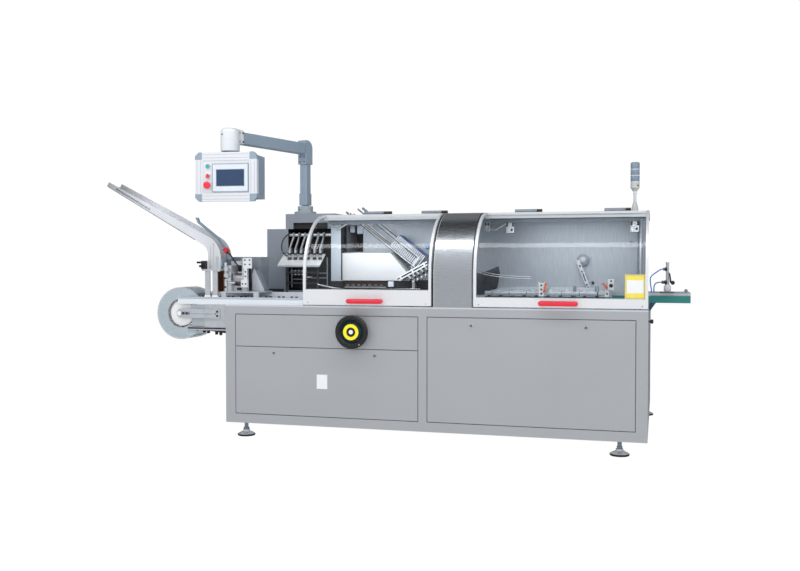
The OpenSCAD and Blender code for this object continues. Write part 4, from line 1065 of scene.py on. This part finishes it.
# %% Switch plates
PLATES = ((1372, 1398, 1136), (1490, 1534, 1128), (2152, 2196, 1128))
faces = [block((x0, 398.6, z), (x1, 405, 1186), 2) for x0, x1, z in PLATES]
faces += [block((x0 + 5, 392.5, z + 8), (x0 + 17, 398.6, z + 30), 2) for x0, _, z in PLATES]
fitted("switch_plates", faces, bright_steel)
heads = row_ahead(
    [(x, 398.4, z) for x0, x1, low in PLATES for x in (x0 + 6, x1 - 6) for z in (low + 40, 1179)],
    [(0, 5.4), (2, 5.4), (3, 3.6)])
heads += row_ahead([(x1 - 13, 398.4, z + 17) for _, x1, z in PLATES], [(0, 6), (4, 6), (5, 4)], 20)
fitted("switch_screws", heads, black_plastic)
tie = bent_rod([(1398, 402, 1150), (1436, 402, 1146), (1490, 402, 1180)], 3.5, rounded=False)
fitted("switch_tie", [tie], bright_steel)
print(len(PLATES), "switch plates")

# %% Clamps and levers
first = [block((1689, 234, TABLE + 54), (1719, 242.6, TABLE + 124), 2)]
first += [block((x, 238, TABLE + 84), (x + 5, 274, TABLE + 128), 1) for x in (1687, 1716)]
second = [
    block((2044, 240, TABLE + 90), (2078, 246, TABLE + 146), 2),
    block((2030, 236, TABLE + 54), (2052, 242.6, TABLE + 92), 2)]
second += [block((x, 244, TABLE + 92), (x + 5, 276, TABLE + 146), 1) for x in (2044, 2073)]
fitted("clamp_faces", first + second, white_plastic)
holes = row_ahead([(1703, 234.2, TABLE + z) for z in (68, 90, 112)], [(0, 5), (1, 5), (1, 3), (0.4, 2.4)])
for z, r in ((112, 10), (136, 4.5)):
    holes += row_ahead([(2061, 240.2, TABLE + z)], [(0, r), (1, r), (1, r - 2), (0.4, r - 3)], 20)
holes += row_ahead([(2041, 236.2, TABLE + 70)], [(0, 4.5), (1, 4.5), (1, 3), (0.4, 2)])
fitted("clamp_holes", holes, black_plastic)
levers = [
    plate(outline, 222, 231, soft=2) for outline in (
        [(1724, 862), (1734, 858), (1722, 812), (1712, 806)], [(2014, 858), (2022, 864), (2048, 836), (2042, 829)])]
fitted("clamp_levers", levers, orange_plastic)
pins = [turned((x, 350, TABLE + 48), UP, [(0, 4), (58, 4), (60, 3)], 16) for x in (1862, 1871, 1976, 1990)]
fitted("track_pins", pins, hinge_grey)
print("two clamps and four pins")

# %% Crank, wall and guides
CRANK_X, CRANK_Z = 1889, TABLE + 246
hub = turned((CRANK_X, 615, CRANK_Z), AHEAD, [(0, 30), (2, 28), (3, 22), (5, 21), (7, 14), (14, 13), (15, 10)], 40)
fitted("crank_hub", [hub], zinc_steel)
ring = turned((CRANK_X, 616, CRANK_Z), AHEAD, [(0, 31), (0, 33.5), (6, 33.5), (7, 31)], 48)
fitted("crank_ring", [ring], hinge_grey)
holes = row_ahead(
    [(x, 603.2, z) for x, z in ((1873, 946), (1884, 916), (1912, 842), (1919, 826))],
    [(0, 5), (0.8, 5), (0.8, 3), (0.3, 2.5)])
slot = plate([(1886, 905), (1892, 907), (1908, 862), (1902, 860)], 601.8, 603.2, soft=0.4)
fitted("crank_holes", holes + [slot], dark_steel)
strip = block((2183, 628, TABLE + 1), (2205.5, 639.5, 1187), 1)
fitted("wall_post", [strip], hinge_grey)
stud = row_ahead([(1942, WALL_Y, 852)], [(0, 8), (5, 8), (7, 5)], 20)
stud += row_ahead([(2236, WALL_Y, 1150), (2150, WALL_Y, 1080)], [(0, 4), (4, 4), (5, 2)])
fitted("wall_stud", stud, black_plastic)
wing = plate([
    (1300, 905), (1350, 912), (1432, 946), (1440, 905), (1426, 830), (1400, 790), (1300, 780)], 500, 508, soft=1)
fitted("closing_wing", [wing], dark_steel)
lines = [
    bent_rod([(1340, 300, 926 - d), (1419, 300, 908 - d), (1536, 300, 894 - d), (1640, 306, 890 - d)], 2.2)
    for d in (0, 11)]
fitted("guide_wires", lines, bright_steel)
ramp = plate([(1392, 790), (1404, 812), (1450, 826), (1560, 832), (1990, 830), (1990, 790)], 452, 456, soft=0.8)
fitted("back_guide", [ramp], wall_steel)
gaps = [
    turned((1438 + 92 * k, 260, TABLE + 69), (1, 0, 0), [(0, 11.2), (0, 12.2), (5, 12.2), (5, 11.2)], 24)
    for k in range(7)]
fitted("rail_gaps", gaps, dark_steel)
print("crank and wall finished")

# %% [markdown]
# ## Infeed
# The left end is the busiest corner of the machine: a white chain disc behind a slotted arm, the stand of
# the chute with its black lever, and a small drive made of brackets, blocks and a brown motor. Each piece
# is simple. Their different finishes and the dark gaps between them make the place look like machinery.

# %% Chain disc and arm
CHAIN_X, CHAIN_Z, LINK_R = -284, 682, 77
disc = turned((CHAIN_X, 40, CHAIN_Z), AHEAD, [(0, 70), (4, 71.5), (6, 71), (7, 69), (7, 24), (5, 22)], 72)
fitted("chain_disc", [disc], white_plastic)
turns = [math.radians(92 + 8.2 * k) for k in range(25)]
links = row_ahead(
    [(CHAIN_X - 3 + LINK_R * math.cos(a), 36, CHAIN_Z + LINK_R * math.sin(a)) for a in turns],
    [(0, 3), (6, 3), (7, 2)], 12)
fitted("chain_pins", links, copper_brown)
slots = [block((-276, 4.8, 675), (-222, 6.4, 691), 0.4), block((-214, 4.8, 680), (-80, 6.2, 682), 0.3)]
fitted("arm_slots", slots, hinge_grey)
bolts = row_ahead(
    [(x, 6, z) for x, z in ((-262, 683), (-240, 683), (-54, 671), (-54, 694))],
    [(0, 6.5), (4, 6.5), (5, 5), (5, 3), (2, 2.6)], 6)
fitted("arm_bolts", bolts, dark_steel)
edge = [block((-238, 11, 597), (-4, 14.2, 605), 0.5)]
fitted("return_guide_edge", edge, dark_steel)
side = block((-214, 15.5, 612), (-118, 20.5, 733), 0.8)
fitted("chain_side_plate", [side], wall_steel)
print(len(links), "chain pins")

# %% Chute stand
lever = [
    block((-154, 8, 930), (-128, 42, 976), 3), block((-182, 10, 961), (-150, 26, 972), 3),
    turned((-147, 21, 946), AHEAD, [(0, 6.5), (37, 6.5), (38, 5)], 20)]
fitted("stand_lever", lever, black_plastic)
# painted shade: dark brown blocks behind and inside the chute stand
shade = [block((-131, 188, 802), (-40, 196, 918), 1), block((-100, 60, TABLE + 66), (-88, 150, 916), 2)]
fitted("stand_back_shade", shade, copper_brown)
pads = [block((x, 10, 775.4), (x + 34, 26, 784), 1.5) for x in (-134, -88)]
fitted("stand_feet", pads, white_plastic)
clip = swung(block((-58, 82, 1026), (-32, 124, 1046), 3), (-46, 110, 1036), 45, "Y")
fitted("bar_clip", [clip], red_plastic)
bar = plate([
    (-238, TABLE + 486), (-222, TABLE + 486), (-212, TABLE + 462), (-98, TABLE + 376), (-44, TABLE + 296),
    (-44, TABLE + 210), (-50, TABLE + 210), (-50, TABLE + 294), (-106, TABLE + 366), (-222, TABLE + 454)],
    102, 118, soft=1.5)
gate = block((-50, 43, TABLE + 210), (-44, 177, TABLE + 250), 1.5)
fitted("hold_down_bar", [bar, gate], slate_paint, replaces=["chute_guide_bar"])
# painted shade: a darker grey strip on the upper part of the near rail's front
inner_shade = block((-298, 13, TABLE + 28), (449, 14.2, TABLE + 40.6), 0.5)
fitted("rail_inner_shade", [inner_shade], soft_grey)
print("stand and clip")

# %% [markdown]
# ## Chute
# Bent aluminium sheet mirrors its surroundings in stripes, and its cut edges look dark. Thin dark rods along
# the rims paint shade on these edges, and narrow darker strips on the drop are painted reflections of the
# stripes of the bend.

# %% Chute edges
TIP, FALL = (-766, 1405), math.tan(math.radians(29.2))
# painted shade: thin dark rods along both rims of the chute
edge_rods = [bent_rod([(x, y, TIP[1] - (x - TIP[0]) * FALL + 1) for x in (-758, -208)], 2.2) for y in (41, 179)]
fitted("chute_rims", edge_rods, hinge_grey)
# painted reflection: narrow darker strips on the drop of the chute
stripes = [
    block((x, 41.2, 934), (x + w, 42.4, top), 0.3) for x, w, top in ((-112, 3, 1060), (-95, 5, 1076), (-78, 16, 1000))]
fitted("drop_reflection_stripes", stripes, zinc_steel)
print("chute edged")

# %% Feeder drive
back = [
    block((-32, 150, 806.5), (78, 160, 966), 1), block((-5, 62, 866), (9, 74, 905), 2),
    block((40, 58, 812), (64, 70, 828), 2)]
fitted("drive_back", back, black_plastic)
motor = turned((36, 140, 872), AHEAD, [(0, 29), (3, 31), (30, 31), (32, 30), (34, 24), (36, 23)], 40)
fitted("drive_motor", [motor], copper_brown)
boss = turned((36, 105, 872), AHEAD, [(0, 13), (6, 13), (8, 11), (8, 5), (4, 4)], 24)
fitted("motor_boss", [boss], soft_grey)
pale = [
    block((78, 58, 934), (130, 66, 992), 1.5), block((84, 56, 868), (102, 69, 936), 1.5),
    block((66, 54, 828), (106, 69.5, 870), 2), block((-26, 124, 950), (76, 131, 974), 1.5)]
fitted("drive_brackets", pale, pale_casting)
steel = [
    block((-29, 46, 806), (-17, 58, 966), 1.5), block((12, 126, 905), (70, 132, 915), 1),
    block((-16, 52, 850), (30, 58, 858), 1),
    turned((-6, 58, 874), AHEAD, [(0, 12), (5, 12), (6, 10), (6, 5), (2, 4)], 24),
    turned((0, 124, 964), AHEAD, [(0, 8), (7, 8), (8, 6)], 20), block((56, 128, 915), (66, 134, 990), 1),
    turned((44, 124, 966), AHEAD, [(0, 10), (5, 10), (6, 8), (6, 4), (2, 3)], 24)]
fitted("drive_steel", steel, bright_steel)
dots = row_ahead([
    (90, 58.2, 980), (118, 58.2, 980), (90, 58.2, 956), (118, 58.2, 956), (76, 54.2, 848), (96, 54.2, 848),
    (93, 56.2, 915), (93, 56.2, 890)], [(0, 4.6), (1, 4.6), (1, 3), (0.3, 2.4)])
dots += row_ahead([(-23, 46.2, z) for z in (830, 880, 930)], [(0, 5), (4, 5), (5, 3)])
fitted("drive_holes", dots, black_plastic)
gusset = plate([(98, 934), (160, 806.5), (84, 806.5), (84, 900)], 163, 168, soft=0.8)
fitted("drive_gusset", [gusset], lamp_pale)
print("feeder drive built up")

# %% [markdown]
# ## Outfeed stop
# Over the green belt stands a small air-driven stop: a bright tube in a clamp, two black fittings for the
# blue tubes, and a black lever. A guide roller sits at the end of the frame.

# %% Outfeed stop
fittings = [
    turned((STOP[0] - 1, STOP[1], TABLE + 198), (-1, 0, 0), [(0, 11), (9, 11), (10, 8.5), (19, 8.5), (20, 6)], 20),
    turned((STOP[0] - 1, STOP[1], RAIL_TOP + 52), (-1, 0, 0), [
        (0, 10.5), (12, 10.5), (13, 8.5), (27, 8.5), (28, 6)], 20),
    plate([(2347, 918), (2354, 910), (2361, 866), (2351, 862)], 252, 259, soft=1.5),
    turned((2366, 259, 864), AHEAD, [(0, 5), (3, 11), (8, 11), (10, 8)], 8),
    block((2302, 245, RAIL_TOP + 0.2), (2374, 290, RAIL_TOP + 3), 1)]
fitted("stop_fittings", fittings, black_plastic)
ring = turned((STOP[0], 255.2, RAIL_TOP + 22), AHEAD, [(0, 14), (5, 14), (6, 12), (6, 6), (3, 5)], 24)
caps = [
    turned((*STOP, TABLE + 228), UP, [(0, 8.2), (0, 10), (4, 10), (5, 8.5)], 24),
    turned((*STOP, RAIL_TOP + 34), UP, [(0, 8.2), (0, 12), (7, 12), (8, 10)], 24)]
fitted("stop_clamp", [ring] + caps, bright_steel)
roller = [
    turned((2431, 274, RAIL_TOP + 9), AHEAD, [(0, 8), (1, 9), (14, 9), (15, 8), (15, 4), (13, 3)], 24),
    block((2425, 262, RAIL_TOP + 0.2), (2437, 266, RAIL_TOP + 10), 1)]
fitted("end_roller", roller, hinge_grey)
navy = plate([(2250.6, TABLE - 15), (2257, TABLE - 15), (2284, 760), (2250.6, 760)], 261, 262.8, soft=0.4)
fitted("bracket_face", [navy], screen_navy)
lines = [block((2258, 262.2, 796.4), (2453, 263, 799), 0.2), block((2258, 262.2, 810.8), (2453, 263, 813), 0.2)]
fitted("rail_lines", lines, hinge_grey)
print("stop dressed")

# %% [markdown]
# ## Base
# The base is plain painted sheet. It needs only what a closer look would find: the sunk key slots in the
# locks, one bare white plate on the lower panel, a knob on the right end, a strip that closes the slit over
# the end wall, and levelling feet with a polished dome in a black rim. The feet stand for the plain ones
# and keep their height.

# %% Plate, locks and knob
FRONT_Y = (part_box("front_panels")[0].y - at(0, 0, 0).y) * 1000
bare = block((534, FRONT_Y - 1.2, 289), (594, FRONT_Y + 0.4, 366), 0.3)
fitted("bare_plate", [bare], white_plastic)
LOCKS = ((287, 475), (859, 475), (1375, 644), (1953, 644))
keys = row_ahead(
    [(x, FRONT_Y - 3.2, z) for x, z in LOCKS], [(0, 7.5), (1.4, 7.5), (2, 6.5), (2, 3.4), (0.6, 2.8)], 24)
fitted("lock_keys", keys, dark_steel)
end_strip = block((2206.5, 452, 1186.8), (2213.5, 639, 1216.8), 0.8)
fitted("end_wall_strip", [end_strip], wall_steel)
pull = turned((2250, 30, 679), (1, 0, 0), [(0, 4.5), (9, 4.5), (10, 9), (13, 10.5), (20, 10.5), (23, 8), (24, 4)], 24)
fitted("end_knob", [pull], black_plastic)
# painted shade: a black strip along the top of the left guard's rail
rail_shade = block((472, 19, RAIL_Z + 79), (1150, 21.5, RAIL_Z + 87), 0.5)
fitted("left_rail_shade", [rail_shade], black_rubber, "left_guard")
print("front at", round(FRONT_Y, 1), "mm")

# %% Levelling feet
FEET = ((78, 95), (2114, 98), (78, 1405), (2222, 1405))


def row_of_feet(profile, sides=48):
    """One turned piece under each corner of the base."""
    return [turned((*place, 0), UP, profile, sides) for place in FEET]


rims = row_of_feet([(0, 46), (3, 49), (9, 49), (10.5, 47.5), (9, 46)])
fitted("foot_rims", rims, black_rubber, replaces=["levelling_feet"])
domes = row_of_feet([(8, 46.5), (10.5, 46.5), (14, 42), (18, 34), (22, 26), (25, 19), (34, 19), (34, 11.5)])
fitted("foot_domes", domes, bright_steel, replaces=["levelling_feet"])
stems = row_of_feet([(32, 11), (72, 11)], 24) + row_of_feet([(36, 11), (36, 16), (46, 16), (47, 11)], 6)
fitted("foot_stems", stems, hinge_grey, replaces=["levelling_feet"])
bosses = row_of_feet([(70, 11), (72, 17), (73, 18), (86, 18)], 32)
fitted("foot_bosses", bosses, dark_steel, replaces=["levelling_feet"])
print(len(FEET), "feet")

# %% [markdown]
# ## Size
# The box of the imported model and the box of the dressed machine are both measured. The dressed machine
# has to stay inside the imported one's box.

# %% The two boxes
boxes = {"cad": cad_box, "visual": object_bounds()}
